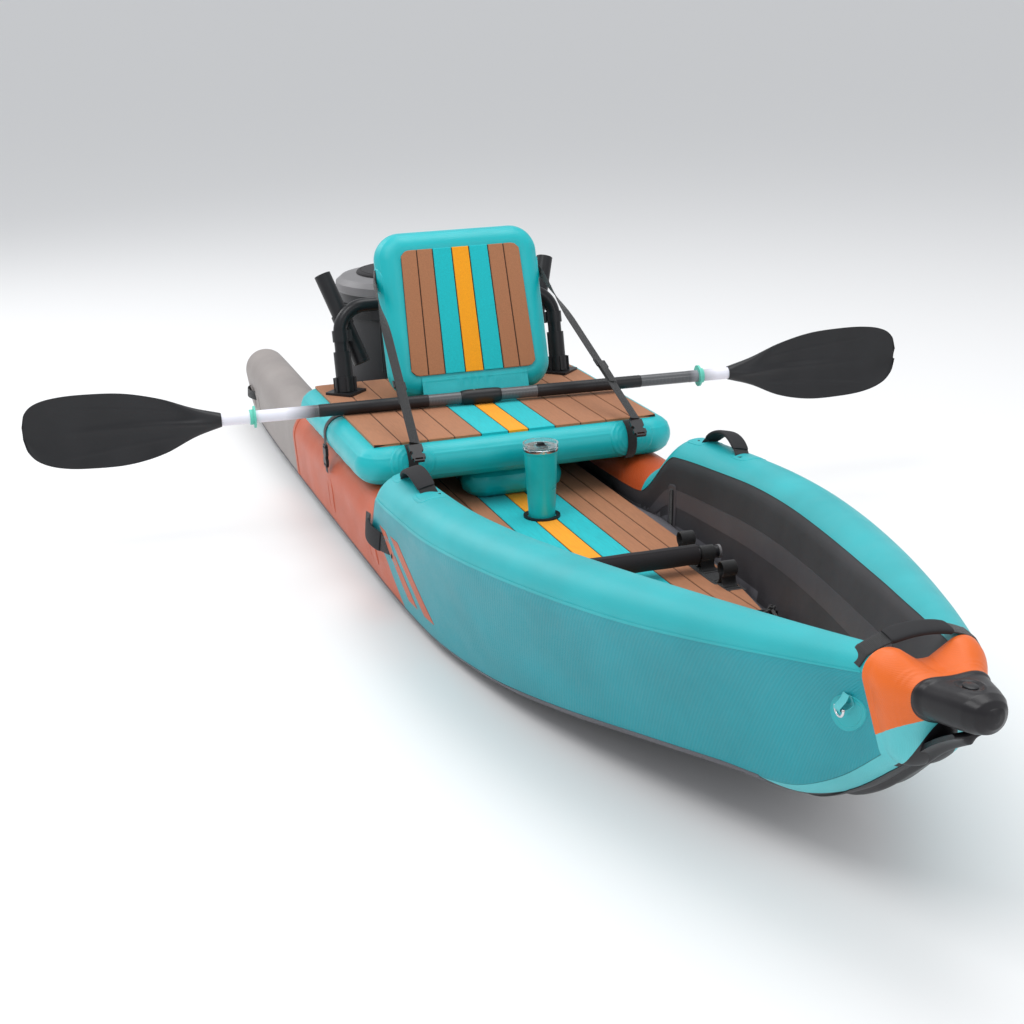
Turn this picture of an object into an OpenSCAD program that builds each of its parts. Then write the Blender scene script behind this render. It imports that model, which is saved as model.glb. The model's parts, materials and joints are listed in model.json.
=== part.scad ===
// Inflatable sit-in kayak with bench seat, backrest, gear rack, cooler, tumbler and paddle.
// Frame: +X to the bow, +Y to port, +Z up; the flat of the bottom stands on z = 0.

/* [Hull] */
// Overall length
hull_l = 3810; // [3790:5:3830]
// Height of the low gunwale beside the seat
low_gunwale = 235; // [230:1:236]
// Height of the raised gunwale where it starts, amidships
high_gunwale = 334; // [325:1:345]
// Rise of the raised gunwale for each metre forward
sheer = 81; // [70:1:90]
// Top of the floor chamber
floor_z = 150; // [146:1:151]
// Thickness of the ribbed foam pads
pad_t = 7; // [5:1:8]

/* [Bench] */
// Bench length, fore and aft
bench_l = 780; // [760:5:790]
// Bench width
bench_w = 850; // [830:5:860]
// Front edge of the bench
bench_front = -145; // [-150:1:-140]
// Thickness of the bench
bench_t = 96; // [90:1:96]

/* [Backrest] */
// Backrest width
back_w = 460; // [440:5:470]
// Backrest height
back_h = 450; // [430:5:455]
// Backrest thickness
back_t = 96; // [80:1:96]
// How far the backrest leans back, in degrees
back_lean = 17.5; // [15:0.5:19]

/* [Gear rack] */
// Outside diameter of the arch tube
rack_d = 38; // [34:1:38]
// Half the distance between the two legs
rack_half_w = 315; // [310:1:318]
// How far the arch leans back, in degrees
rack_lean = 12; // [10:0.5:14]
// Outside diameter of a rod holder
holder_d = 47; // [44:1:48]
// Length of a rod holder
holder_l = 270; // [250:5:280]

/* [Cooler] */
// Outside radius of the bucket at its rim
cooler_r = 205; // [195:1:206]
// Height of the bucket
cooler_h = 400; // [380:5:410]

/* [Paddle] */
// Length of the paddle, tip to tip
paddle_l = 2400; // [2380:10:2420]
// Shaft diameter
shaft_d = 32; // [30:1:32]
// Distance of the drip rings from the middle
ring_at = 611; // [580:1:630]

/* [Tumbler] */
// Height of the cup without its lid
cup_h = 178; // [170:1:180]
// Radius of the cup at the top
cup_r = 42; // [40:1:43]

/* [Hidden] */
$fn = 48;
gap = 0.3;          // clearance between pieces that move on each other
soft_fn = 32;       // facets on the rounded soft pieces

// colours
teal = [0.05, 0.72, 0.76];
orange = [0.95, 0.45, 0.12];
brown = [0.66, 0.41, 0.27];
black = [0.12, 0.11, 0.13];
charcoal = [0.27, 0.26, 0.28];
steel = [0.75, 0.76, 0.78];

// ---- hull lines: each is a list of [station, value], joined by a smooth curve ----
// underside of the hull on the centre line
keel_line = [[-1905, 0], [-600, 0], [350, 0], [650, 20], [900, 54], [1150, 92], [1350, 118],
    [1500, 134], [1600, 185], [1700, 265], [1780, 335], [1860, 385], [1905, 405]];
// half width of the bottom, chine to centre
chine_line = [[-1905, 390], [-1500, 406], [-900, 412], [0, 410], [300, 400], [500, 380],
    [700, 352], [900, 310], [1100, 254], [1300, 188], [1500, 118], [1620, 84], [1720, 66]];
// distance of the middle of the top round from the centre line
top_line = [[-1905, 345], [-1400, 345], [-900, 345], [-100, 348], [100, 374], [300, 379],
    [500, 374], [700, 351], [900, 312], [1100, 262], [1300, 204], [1500, 140], [1600, 105],
    [1720, 60]];
// radius of the top round
top_r_line = [[-1905, 66], [-1400, 70], [-900, 75], [-100, 76], [100, 72], [900, 69],
    [1200, 64], [1400, 55], [1600, 42], [1720, 34]];
chine_r = 56;       // radius of the round at the chine
stern_rise = 15;    // the low gunwale climbs a little towards the stern
step_aft = -60;     // the gunwale steps up between these two stations
step_fore = 90;

function seg(tab, x, i = 0) = (i >= len(tab) - 2 || x < tab[i + 1][0]) ? i : seg(tab, x, i + 1);
// smooth curve through a list of [station, value]
function curve(tab, x) = let (
    i = seg(tab, x), a = tab[max(i - 1, 0)], b = tab[i], c = tab[i + 1],
    d = tab[min(i + 2, len(tab) - 1)], h = c[0] - b[0], t = (x - b[0]) / h,
    m = (c[1] - a[1]) / (c[0] - a[0]) * h, n = (d[1] - b[1]) / (d[0] - b[0]) * h)
    (2 * t^3 - 3 * t^2 + 1) * b[1] + (t^3 - 2 * t^2 + t) * m
    + (3 * t^2 - 2 * t^3) * c[1] + (t^3 - t^2) * n;
function ease(t) = let (u = min(max(t, 0), 1)) u * u * (3 - 2 * u);
function keel(x) = max(curve(keel_line, x), 0);
function crest(x) = low_gunwale + stern_rise * ease((-1100 - x) / 800)
    + (high_gunwale + sheer * max(x, 0) / 1000 - low_gunwale)
    * ease((x - step_aft) / (step_fore - step_aft));
// half width of the cockpit floor
function floor_half(x) = min(curve(chine_line, x) - 2 * chine_r,
    curve(top_line, x) - curve(top_r_line, x)) - 1;
// how full the wall's rounds are, near its end at the stern
function fullness(x) = let (t = min((x + hull_l / 2) / 50, 1)) max(sqrt(1 - (1 - t)^2), 0.3);

// cross section of one side wall: two rounds, the chine's and the gunwale's, joined by tangents
function wall_ring(x) = let (
    k = fullness(x), rb = chine_r * k, rt = curve(top_r_line, x) * k,
    by = curve(chine_line, x) - chine_r, bz = keel(x) + chine_r,
    ty = curve(top_line, x), tz = crest(x) - curve(top_r_line, x),
    run = norm([ty - by, tz - bz]), lean = atan2(tz - bz, ty - by), b = acos((rb - rt) / run))
    concat([for (i = [0:8]) let (a = lean - b + 2 * b * i / 8)
            [x, ty + rt * cos(a), tz + rt * sin(a)]],
        [for (i = [0:6]) let (a = lean + b + (360 - 2 * b) * i / 6)
            [x, by + rb * cos(a), bz + rb * sin(a)]]);
// the wall stops at the centre plane, where its mirror image meets it
function trimmed(ring) = [for (p = ring) [p[0], max(p[1], 0), p[2]]];

// closed surface through equal rings of points, given bow to stern
module loft(rings) {
    n = len(rings[0]);
    m = len(rings);
    polyhedron(points = [for (r = rings) each r],
        faces = concat(
            [for (j = [0:m - 2], i = [0:n - 1]) let (a = j * n + i, b = j * n + (i + 1) % n)
                each [[a, b, b + n], [a, b + n, a + n]]],
            [[for (i = [n - 1:-1:0]) i], [for (i = [0:n - 1]) (m - 1) * n + i]]),
        convexity = 6);
}

wall_stations = [1720, 1665, 1600, 1540, 1470, 1390, 1300, 1200, 1100, 1000, 880, 740, 600, 450,
    300, 180, 100, 65, 35, 5, -25, -60, -250, -500, -800, -1100, -1400, -1650, -1800, -1862, -1890,
    -1905];

module side_wall() {
    loft([for (x = wall_stations) trimmed(wall_ring(x))]);
}
module side_chamber_port() { color(teal) side_wall(); }
module side_chamber_starboard() { color(teal) mirror([0, 1, 0]) side_wall(); }

// flat strip that follows the floor: each ring is a plain rectangle
module floor_strip(stations, inset, low, high) {
    loft([for (x = stations) let (w = floor_half(x) - inset, z = floor_rise(x))
        [[x, w, high + z], [x, -w, high + z], [x, -w, low + z], [x, w, low + z]]]);
}
// the floor's top keeps level and then climbs a little with the bow
function floor_rise(x) = 60 * ease((x - 500) / 1100);
floor_aft = -1500;  // the floor ends here; the side walls run on as two horns
module floor_chamber() {
    color(charcoal) loft([for (x = [1380, 1300, 1200, 1100, 1000, 880, 740, 600, 450, 300, 150, 60,
        0, -60, -300, -700, -1100, -1400, floor_aft])
        let (w = floor_half(x), z = floor_rise(x) + floor_z, k = keel(x))
        [[x, w, z], [x, -w, z], [x, -w, k + 25], [x, -w + 24, k], [x, w - 24, k], [x, w, k + 25]]]);
}
module floor_pad() {
    color(brown) floor_strip([1120, 1000, 880, 740, 600, 450, 300, 150, 60, 0, -60, -400, -800],
        22, floor_z, floor_z + pad_t);
}

// nose: [station, half width, top, bottom, depth of the saddle between the two walls]
nose_stations = [[1720, 92, 470, 280, 26], [1756, 76, 463, 332, 16], [1790, 62, 458, 383, 9],
    [1820, 54, 458, 386, 6], [1850, 45, 459, 390, 3], [1874, 37, 457, 395, 0],
    [1892, 27, 452, 402, 0], [1902, 15, 445, 414, 0], [1905, 5, 437, 425, 0]];
function nose_ring(s) = let (mid = s[2] - (s[2] - s[3]) * 0.42)
    [for (i = [0:19]) let (a = -i * 18, c = cos(a), w = sin(a))
        [s[0], s[1] * w, c > 0 ? mid + (s[2] - mid) * pow(c, 0.8) - s[4] * pow(1 - w * w, 3)
            : mid - (mid - s[3]) * pow(-c, 0.9)]];
module nose(first, last) {
    loft([for (i = [last:-1:first]) nose_ring(nose_stations[i])]);
}
module nose_collar() { color(orange) nose(0, 2); }
module nose_cap() { color(black) nose(2, len(nose_stations) - 1); }

// rubber strip that guards the keel where the bow lands on a beach
module keel_guard() {
    color(black) loft([for (x = [1840, 1780, 1700, 1640, 1570, 1500, 1420, 1340, 1250])
        let (w = 26 + 20 * ease((1780 - x) / 300), z = keel(x))
        [[x, w, z + 6], [x, 0, z + 1], [x, -w, z + 6], [x, -w, z - 2], [x, 0, z - 12], [x, w, z - 2]]]);
}

// ---- straps and handles ----
// arched strap: half of a flat ring, long along X, rising to `rise`
module arch(length, rise, width, t) {
    r = (length * length / 4 + rise * rise) / (2 * rise);
    translate([0, 0, rise - r]) rotate([90, 0, 0]) linear_extrude(width, center = true)
        intersection() {
            difference() {
                circle(r, $fn = 96);
                circle(r - t, $fn = 96);
            }
            translate([-length / 2, r - rise]) square([length, rise + 1]);
        }
}
gunwale_handle_x = 226;
module gunwale_handle(s) {
    translate([gunwale_handle_x, s * 379, crest(gunwale_handle_x) - 3]) rotate([-s * 12, -4.6, 0])
        arch(190, 42, 38, 5);
}
module gunwale_handles() { color(black) { gunwale_handle(1); gunwale_handle(-1); } }
module side_handle(s) {
    translate([38, s * 431, 185]) rotate([-s * 84, 0, 0]) arch(205, 24, 42, 5);
}
module side_handles() { color(black) { side_handle(1); side_handle(-1); } }
module stern_handle(s) {
    translate([-1760, s * 401, 125]) rotate([-s * 86, 0, 0]) arch(130, 25, 28, 4);
}
module stern_handles() { color(black) { stern_handle(1); stern_handle(-1); } }
module bow_handle() {
    color(black) translate([1690, 0, 468]) rotate([0, -3, 90]) arch(186, 24, 40, 5);
}

// steel D-ring on each side of the bow, hanging from its tab: pivot at [x, y, z]
bow_ring_at = [1676, 120, 372];
ring_r = 13;        // radius of the ring at the middle of its wire
wire_r = 2.2;
module bow_ring(s) {
    color(steel) translate([bow_ring_at[0], s * bow_ring_at[1], bow_ring_at[2]]) rotate([90, 0, 0]) {
        rotate([0, 0, 180]) rotate_extrude(angle = 180) translate([ring_r, 0]) circle(wire_r);
        translate([-ring_r, 0, 0]) rotate([0, 90, 0]) cylinder(r = wire_r, h = 2 * ring_r);
    }
}
module bow_ring_port() { bow_ring(1); }
module bow_ring_starboard() { bow_ring(-1); }

// ---- air valves: a flanged body, a screw cap and, in the floor's, its sprung poppet ----
valve_bore = 24;    // radius of the well in the valve body
valve_h = 16;       // height of the body above the fabric
stem_r = 4;         // radius of the hole that the poppet's stem slides in
// the body stands on its flange at z = 0, its well open at the top
module valve_body() {
    difference() {
        union() {
            cylinder(r = 38, h = 3);
            cylinder(r = 29, h = valve_h);
        }
        translate([0, 0, 4]) cylinder(r = valve_bore, h = 20);
        translate([0, 0, -1]) cylinder(r = stem_r, h = 20);
    }
}
module valve_cap() {
    translate([0, 0, valve_h + gap]) {
        cylinder(r = 31, h = 4);
        translate([-26, -3, 3]) cube([52, 6, 5]);
    }
}
module closed_valve() {
    cylinder(r = 38, h = 3);
    cylinder(r = 29, h = valve_h);
    translate([0, 0, valve_h]) cylinder(r = 31, h = 4);
}
floor_valve_at = [-1435, 0, floor_z];
module at_side_valve(s) {
    translate([-1640, s * (floor_half(-1640) + 9), 118]) rotate([s * 84, 0, 0]) children();
}
bench_valve_at = [bench_front - bench_l, 230, 284];
module valve_bodies() {
    color(charcoal) {
        translate(floor_valve_at) valve_body();
        at_side_valve(1) valve_body();
        at_side_valve(-1) valve_body();
        translate(bench_valve_at) rotate([0, -90, 0]) closed_valve();
    }
}
module floor_valve_cap() { color(black) translate(floor_valve_at) valve_cap(); }
module floor_valve_poppet() {
    color("orange") translate(floor_valve_at) {
        translate([0, 0, 2.8]) cylinder(r = stem_r - gap, h = 5.2);
        translate([0, 0, 8]) cylinder(r = 9, h = 2.5);
    }
}
module port_valve_cap() { color(black) at_side_valve(1) valve_cap(); }
module starboard_valve_cap() { color(black) at_side_valve(-1) valve_cap(); }

// ---- foot brace: a foam roll on a tube, held in the loops of two webbing ladders ----
brace_x = 490;      // the loops that the brace is in
brace_z = 197;      // its axis
ladder_y = 209;     // middle of each ladder
ladder_w = 38;
tube_r = 14;
foam_r = 23;
module loop(x) {
    foot = brace_z - floor_z - pad_t - 2;
    translate([x, 0, brace_z]) rotate([90, 0, 0]) linear_extrude(ladder_w - 4, center = true)
        difference() {
            union() {
                circle(tube_r + 3.5);
                translate([-9, -foot]) square([18, foot - 14]);
            }
            circle(tube_r + 1);
        }
}
module ladder(s) {
    translate([0, s * ladder_y, 0]) {
        translate([340, -ladder_w / 2, floor_z + pad_t]) cube([300, ladder_w, 3]);
        for (x = [brace_x - 110, brace_x, brace_x + 110]) loop(x);
    }
}
module brace_ladders() { color(black) { ladder(1); ladder(-1); } }
module along_y(y0, y1) {
    translate([0, y0, 0]) rotate([-90, 0, 0]) linear_extrude(y1 - y0) children();
}
module brace_tube() {
    color(charcoal) translate([brace_x, 0, brace_z]) along_y(-236, 236) difference() {
        circle(tube_r);
        circle(tube_r - 1.5);
    }
}
module brace_foam() {
    color(black) translate([brace_x, 0, brace_z]) along_y(-185, 185) difference() {
        circle(foam_r);
        circle(tube_r);
    }
}
module brace_caps() {
    color(charcoal) translate([brace_x, 0, brace_z]) for (s = [-1, 1]) scale([1, s, 1]) {
        translate([0, 236, 0]) rotate([-90, 0, 0]) cylinder(r = 16, h = 5);
        translate([0, 220, 0]) rotate([-90, 0, 0]) cylinder(r = tube_r - 1.5, h = 16);
    }
}

// ---- bow bungee: straight runs of elastic cord between four anchors ----
// anchors: [x, y, z]; the pairs are mirrored
anchor_aft = [830, 200, 182];
anchor_fore = [1010, 150, 190];
bungee_r = 3;
module rod_between(p, q, r) {
    v = q - p;
    translate(p) rotate([0, acos(v[2] / norm(v)), atan2(v[1], v[0])]) cylinder(r = r, h = norm(v));
}
function port_of(p) = [p[0], -p[1], p[2]];
// one run between two anchors, stopping short of the knots at both
module cord_run(p, q) {
    v = 16 * (q - p) / norm(q - p);
    rod_between(p + v, q - v, bungee_r);
}
module bungee() {
    lift = [0, 0, 8];   // one diagonal passes over the other
    color(black) {
        cord_run(anchor_aft, port_of(anchor_aft));
        cord_run(anchor_aft, port_of(anchor_fore));
        cord_run(port_of(anchor_aft) + lift, anchor_fore + lift);
        cord_run(anchor_aft, anchor_fore);
        cord_run(port_of(anchor_aft), port_of(anchor_fore));
    }
}
module bungee_anchors() {
    color(black) for (p = [anchor_aft, anchor_fore]) for (s = [-1, 1]) {
        z0 = floor_z + floor_rise(p[0]) + 1;
        translate([p[0], s * (p[1] + 4), z0]) {
            cylinder(r = 12, h = 3);
            translate([-3, -8, 2]) cube([6, 16, p[2] - z0 - 4]);
        }
    }
}
// welded slot on each inner wall, for an accessory strap
module wall_slots() {
    color(black) for (s = [-1, 1]) translate([96, s * 294, 172]) rotate([-s * 3, 0, 0])
        translate([-8, -3, 0]) cube([16, 6, 110]);
}

// ---- bench ----
bench_mid = [bench_front - bench_l / 2, 0, low_gunwale + 1 + bench_t / 2];
bench_top = low_gunwale + 1 + bench_t;
module bench_platform() {
    r = bench_t / 2;
    color(teal) translate(bench_mid) hull() for (x = [-1, 1]) for (y = [-1, 1])
        translate([x * (bench_l / 2 - r), y * (bench_w / 2 - r), 0]) sphere(r, $fn = soft_fn);
}
module rounded_plate(l, w, r, t) {
    linear_extrude(t) union() {
        square([l - 2 * r, w], center = true);
        square([l, w - 2 * r], center = true);
        for (x = [-1, 1]) for (y = [-1, 1]) translate([x * (l / 2 - r), y * (w / 2 - r)]) circle(r);
    }
}
module bench_pad() {
    color(brown) translate([bench_mid[0], 0, bench_top])
        rounded_plate(bench_l - 92, bench_w - 92, 12, pad_t);
}
// cushion wedged between the bench and the floor
module bench_bolster() {
    z0 = floor_z + pad_t + 0.5;
    z1 = low_gunwale + 0.5;
    r = (z1 - z0) / 2;
    color(teal) translate([-262, 0, (z0 + z1) / 2]) hull() for (x = [-1, 1]) for (y = [-1, 1])
        translate([x * 22, y * 96, 0]) sphere(r, $fn = soft_fn);
}
tie_x = -545;       // where the straps come down that hold the bench to the hull
// band from beside the bench pad, over the bench's side and down to its buckle
module tie_band() {
    edge = bench_w / 2 - bench_t / 2;
    translate([tie_x, 0, 0]) rotate([90, 0, 90]) linear_extrude(25, center = true) {
        difference() {
            translate([edge, bench_mid[2]]) circle(bench_t / 2 + 2.5);
            translate([edge, bench_mid[2]]) circle(bench_t / 2 + 0.5);
            translate([edge - 60, bench_mid[2] - 60]) square([63, 120]);
            translate([edge - 60, bench_mid[2] - 60]) square([120, 60]);
        }
        translate([edge + bench_t / 2 + 0.5, 178]) square([2, bench_mid[2] - 177.5]);
    }
}
module bench_straps() { color(black) { tie_band(); mirror([0, 1, 0]) tie_band(); } }
module buckle() {
    // side-release buckle lying flat, its strap along X
    linear_extrude(8) difference() {
        union() {
            square([44, 34], center = true);
            translate([-30, -13]) square([60, 26]);
        }
        for (s = [-1, 1]) translate([4, s * 17]) circle(6);
        translate([-26, -10]) square([5, 20]);
        translate([21, -10]) square([5, 20]);
    }
}
module bench_buckles() {
    color(black) for (s = [-1, 1]) translate([tie_x, s * (bench_w / 2 - 2), 226])
        rotate([0, 90, s * 90]) buckle();
}

// ---- backrest: built upright with its hinge line on the Y axis, then leant back ----
hinge_at = [-536, 0, bench_top + pad_t + 2];
back_clear = 20;    // the cushion's lower edge above the hinge line, along the cushion
module lean_back() { translate(hinge_at) rotate([0, -back_lean, 0]) children(); }
back_mid = back_clear + back_h / 2;
pad_half_h = 170;   // half the height of its ribbed pad
module backrest_panel() {
    major = 26;
    r = back_t / 2;
    color(teal) lean_back() translate([-r, 0, back_mid]) rotate([0, 90, 0])
        hull() for (x = [-1, 1]) for (y = [-1, 1])
            translate([x * (back_h / 2 - r - major), y * (back_w / 2 - r - major), 0])
                rotate_extrude($fn = soft_fn) intersection() {
                    translate([major, 0]) circle(r, $fn = soft_fn);
                    translate([0, -r]) square([major + r, 2 * r]);
                }
}
module backrest_pad() {
    top = back_w / 2 - 62;
    low = back_w / 2 - 52;
    h = pad_half_h;
    color(brown) lean_back() translate([0.2, 0, back_mid]) rotate([90, 0, 90])
        linear_extrude(pad_t - 1) polygon([[-low, 8 - h], [10 - low, -h], [low - 10, -h],
            [low, 8 - h], [top, h - 8], [top - 10, h], [10 - top, h], [-top, h - 8]]);
}
// fabric flap that hinges the cushion on the bench pad
module backrest_flap() {
    color(teal) lean_back() translate([0.2, -150, 0]) cube([2, 300, 70]);
}
module backrest_valve() {
    color(charcoal) lean_back() translate([-back_t, 110, 120]) rotate([0, -90, 0]) closed_valve();
}
// side straps from the cushion's flanks down to the front of the bench
strap_top = [-690, 236, 655];
strap_low = [-122, 292, bench_top + pad_t + 14];
strap_run = strap_low - strap_top;
// the strap runs straight, on edge, from the cushion's flank to its buckle
module on_strap(t) {
    translate(strap_top + t * strap_run)
        rotate([0, acos(strap_run[2] / norm(strap_run)) - 90, atan2(strap_run[1], strap_run[0])])
            rotate([-90, 0, 0]) children();
}
module backrest_strap() { on_strap(0) translate([0, -12.5, -1]) cube([norm(strap_run), 25, 2]); }
module backrest_straps() { color(black) { backrest_strap(); mirror([0, 1, 0]) backrest_strap(); } }
module strap_slider() {
    on_strap(0.66) translate([0, 0, 1]) linear_extrude(4) difference() {
        square([24, 34], center = true);
        for (x = [-6, 6]) translate([x - 2, -13]) square([4, 26]);
    }
}
module strap_sliders() { color(black) { strap_slider(); mirror([0, 1, 0]) strap_slider(); } }
module strap_buckles() {
    color(black) for (s = [-1, 1]) translate([-112, s * 292, bench_top - 6]) rotate([0, 36, 0])
        translate([0, 0, 6]) buckle();
}

// ---- gear rack: two ribbed feet, an arch in their sleeves and two rod holders ----
rack_at = [-757, 0, bench_top + pad_t];
module lean_rack() { translate(rack_at) rotate([0, -rack_lean, 0]) children(); }
module rack_bases() {
    color(black) for (s = [-1, 1]) {
        translate([rack_at[0], s * rack_half_w, rack_at[2]]) rotate([0, 0, 45]) translate([-41, -41, 0])
            cube([82, 82, 7]);
        translate([0, s * rack_half_w, 0]) lean_rack() difference() {
            union() {
                translate([0, 0, 3]) cylinder(r = 28, h = 42);
                translate([0, 0, 3]) cylinder(r = 24, h = 112);
                for (a = [0:60:300]) rotate([0, 0, a]) translate([20, -3, 4]) cube([13, 6, 40]);
            }
            translate([0, 0, 30]) cylinder(d = rack_d + 2 * gap, h = 120);
            rotate([0, rack_lean, 0]) translate([-60, -60, -20]) cube([120, 120, 20]);
        }
    }
}
arch_r = 75;        // bend radius of the tube's corners
arch_h = 238;       // the top bar above the feet, along the lean
module tube_section() {
    difference() {
        circle(d = rack_d);
        circle(d = rack_d - 4);
    }
}
module rack_arch() {
    color(black) lean_rack() {
        for (s = [-1, 1]) translate([0, s * rack_half_w, 31])
            linear_extrude(arch_h - arch_r - 31) tube_section();
        for (s = [-1, 1]) translate([0, s * (rack_half_w - arch_r), arch_h - arch_r])
            rotate([90, 0, s > 0 ? 90 : -90]) rotate_extrude(angle = 90)
                translate([arch_r, 0]) tube_section();
        translate([0, rack_half_w - arch_r, arch_h]) rotate([90, 0, 0])
            linear_extrude(2 * (rack_half_w - arch_r)) tube_section();
    }
}
// middle of each rod holder, and which way it points: out to the side and aft
holder_mid = [-858, 292, 528];
holder_out = 17;
holder_aft = 22;
module at_holder(s) {
    translate([holder_mid[0], s * holder_mid[1], holder_mid[2]])
        rotate([0, -holder_aft, 0]) rotate([-s * holder_out, 0, 0]) children();
}
module rod_holders() {
    color(black) for (s = [-1, 1]) at_holder(s) difference() {
        cylinder(d = holder_d, h = holder_l, center = true);
        translate([0, 0, -holder_l / 2 + 4]) cylinder(d = holder_d - 5, h = holder_l);
    }
}
// bracket that joins each holder to the arch
module holder_clamps() {
    color(black) for (s = [-1, 1]) difference() {
        union() {
            at_holder(s) translate([0, 0, -20]) cylinder(d = holder_d + 7, h = 34);
            lean_rack() translate([-46, s * 300 - 18, 142]) cube([46, 36, 32]);
            lean_rack() translate([0, s * rack_half_w, 142]) cylinder(d = rack_d + 7, h = 32);
        }
        at_holder(s) cylinder(d = holder_d, h = holder_l, center = true);
        lean_rack() translate([0, s * rack_half_w, 20]) cylinder(d = rack_d, h = 240);
    }
}

// ---- cooler: a tapered bucket with a lift-off lid ----
cooler_at = [-1162, -20, floor_z + 1];
cooler_wall = 28;
module cooler_bucket() {
    r0 = cooler_r - 22;
    color(charcoal) translate(cooler_at) rotate_extrude($fn = 96) polygon([[0, 0], [r0 - 8, 0], [r0, 8],
        [cooler_r, cooler_h], [cooler_r - cooler_wall, cooler_h], [r0 - cooler_wall, cooler_wall],
        [0, cooler_wall]]);
}
module cooler_lid() {
    z = cooler_h + gap;
    color([0.55, 0.53, 0.55]) translate(cooler_at) rotate_extrude($fn = 96) polygon([
        [0, z - 14], [cooler_r - cooler_wall - 3, z - 14], [cooler_r - cooler_wall - 3, z],
        [cooler_r + 7, z], [cooler_r + 9, z + 6], [cooler_r + 7, z + 24], [cooler_r - 10, z + 38], [cooler_r - 50, z + 45],
        [0, z + 46]]);
}
module cooler_pad() {
    color(black) translate(cooler_at + [0, 0, cooler_h + gap + 46])
        cylinder(r = cooler_r - 55, h = 8, $fn = 96);
}
// carry strap round the bucket's shoulder
module cooler_strap() {
    color(black) translate(cooler_at + [0, 0, cooler_h - 70]) difference() {
        cylinder(r = cooler_r + 3, h = 38, $fn = 96);
        translate([0, 0, -1]) cylinder(r = cooler_r, h = 40, $fn = 96);
    }
}

// ---- tumbler in its ring on the floor ----
cup_at = [-24, 0, floor_z + pad_t];
cup_foot = 33;      // radius at the foot
module cup_ring() {
    color(black) translate(cup_at) difference() {
        cylinder(r = 46, h = 5);
        translate([0, 0, -1]) cylinder(r = 37, h = 7);
    }
}
module tumbler_cup() {
    color(teal) translate(cup_at + [0, 0, gap]) rotate_extrude($fn = 72) polygon([[0, 0],
        [cup_foot - 3, 0], [cup_foot, 3], [cup_r - 0.5, cup_h - 14], [cup_r + 0.5, cup_h - 12],
        [cup_r + 1, cup_h], [cup_r - 2, cup_h], [cup_foot - 3, 8], [0, 8]]);
}
module tumbler_lid() {
    z = cup_h + gap;
    color([0.85, 0.9, 0.92], 0.5) translate(cup_at + [0, 0, gap]) difference() {
        union() {
            translate([0, 0, z]) cylinder(r = cup_r + 2, h = 11);
            translate([0, 0, z - 9]) cylinder(r = cup_r - 4, h = 10);
        }
        translate([0, 0, z + 3]) cylinder(r = cup_r - 2, h = 12);
        translate([4, -5, z - 12]) cube([24, 10, 20]);
    }
}
module tumbler_slider() {
    color(black) translate(cup_at + [0, 0, cup_h + 3 + 3 * gap]) {
        translate([-6, -10, 0]) cube([32, 20, 3]);
        translate([-4, -8, 3]) cube([12, 16, 5]);
    }
}

// ---- paddle, lying across the bench: built along Y, then swung to its place ----
paddle_at = [-488, 0, 359.5];
paddle_swing = -4.6;
paddle_tilt = 0.5;
blade_root = 700;   // where the blade starts, from the middle
module lay_paddle() {
    translate(paddle_at) rotate([0, 0, paddle_swing]) rotate([paddle_tilt, 0, 0]) children();
}
module half_shaft(s) {
    color([0.3, 0.3, 0.32]) lay_paddle() scale([1, s, 1]) along_y(0.5, blade_root + 60) difference() {
        circle(d = shaft_d);
        circle(d = shaft_d - 4);
    }
}
module shaft_port() { half_shaft(1); }
module shaft_starboard() {
    color([0.3, 0.3, 0.32]) lay_paddle() mirror([0, 1, 0]) difference() {
        along_y(0.5, blade_root + 60) difference() {
            circle(d = shaft_d);
            circle(d = shaft_d - 4);
        }
        translate([0, 24, 0]) cylinder(r = 4 + gap, h = 30);
    }
}
// blade outline: distance from its root, then the upper and lower edges
blade_shape = [[0, 18, 18], [70, 38, 40], [150, 70, 76], [240, 92, 96], [330, 99, 97], [410, 98, 88],
    [465, 86, 66], [492, 62, 34], [500, 30, 0]];
module blade(s) {
    l = (paddle_l / 2 - blade_root) / 500;
    color(black) lay_paddle() scale([1, s, 1]) translate([0, blade_root, 0]) difference() {
        union() {
            rotate([90, 0, 90]) linear_extrude(6, center = true) polygon(concat(
                [for (p = blade_shape) [p[0] * l, p[1]]],
                [for (i = [len(blade_shape) - 1:-1:0]) [blade_shape[i][0] * l, -blade_shape[i][2]]]));
            rotate([-90, 0, 0]) cylinder(r1 = shaft_d / 2 + 4, r2 = 7, h = 400 * l);
        }
        translate([0, -1, 0]) rotate([-90, 0, 0]) cylinder(d = shaft_d, h = 61);
    }
}
module blade_port() { blade(1); }
module blade_starboard() { blade(-1); }
// sleeve on the starboard half that the port half turns in
module ferrule() {
    color(black) lay_paddle() difference() {
        along_y(-60, 48) circle(d = shaft_d + 6);
        along_y(-61, 0) circle(d = shaft_d);
        along_y(-1, 49) circle(d = shaft_d + 2 * gap);
        translate([0, -24, 0]) cylinder(r = 4 + gap, h = 30);
    }
}
// sprung button that sets the blade angle
module ferrule_button() {
    color(steel) lay_paddle() translate([0, -24, shaft_d / 2 - 6]) cylinder(r = 4, h = 11);
}
module drip_ring(s) {
    color([0.35, 0.8, 0.72]) lay_paddle() scale([1, s, 1]) translate([0, ring_at, 0])
        rotate([-90, 0, 0]) difference() {
            union() {
                cylinder(r = 29, h = 5);
                cylinder(r = 20, h = 15);
            }
            translate([0, 0, -1]) cylinder(d = shaft_d, h = 20);
        }
}
module drip_ring_port() { drip_ring(1); }
module drip_ring_starboard() { drip_ring(-1); }

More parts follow.
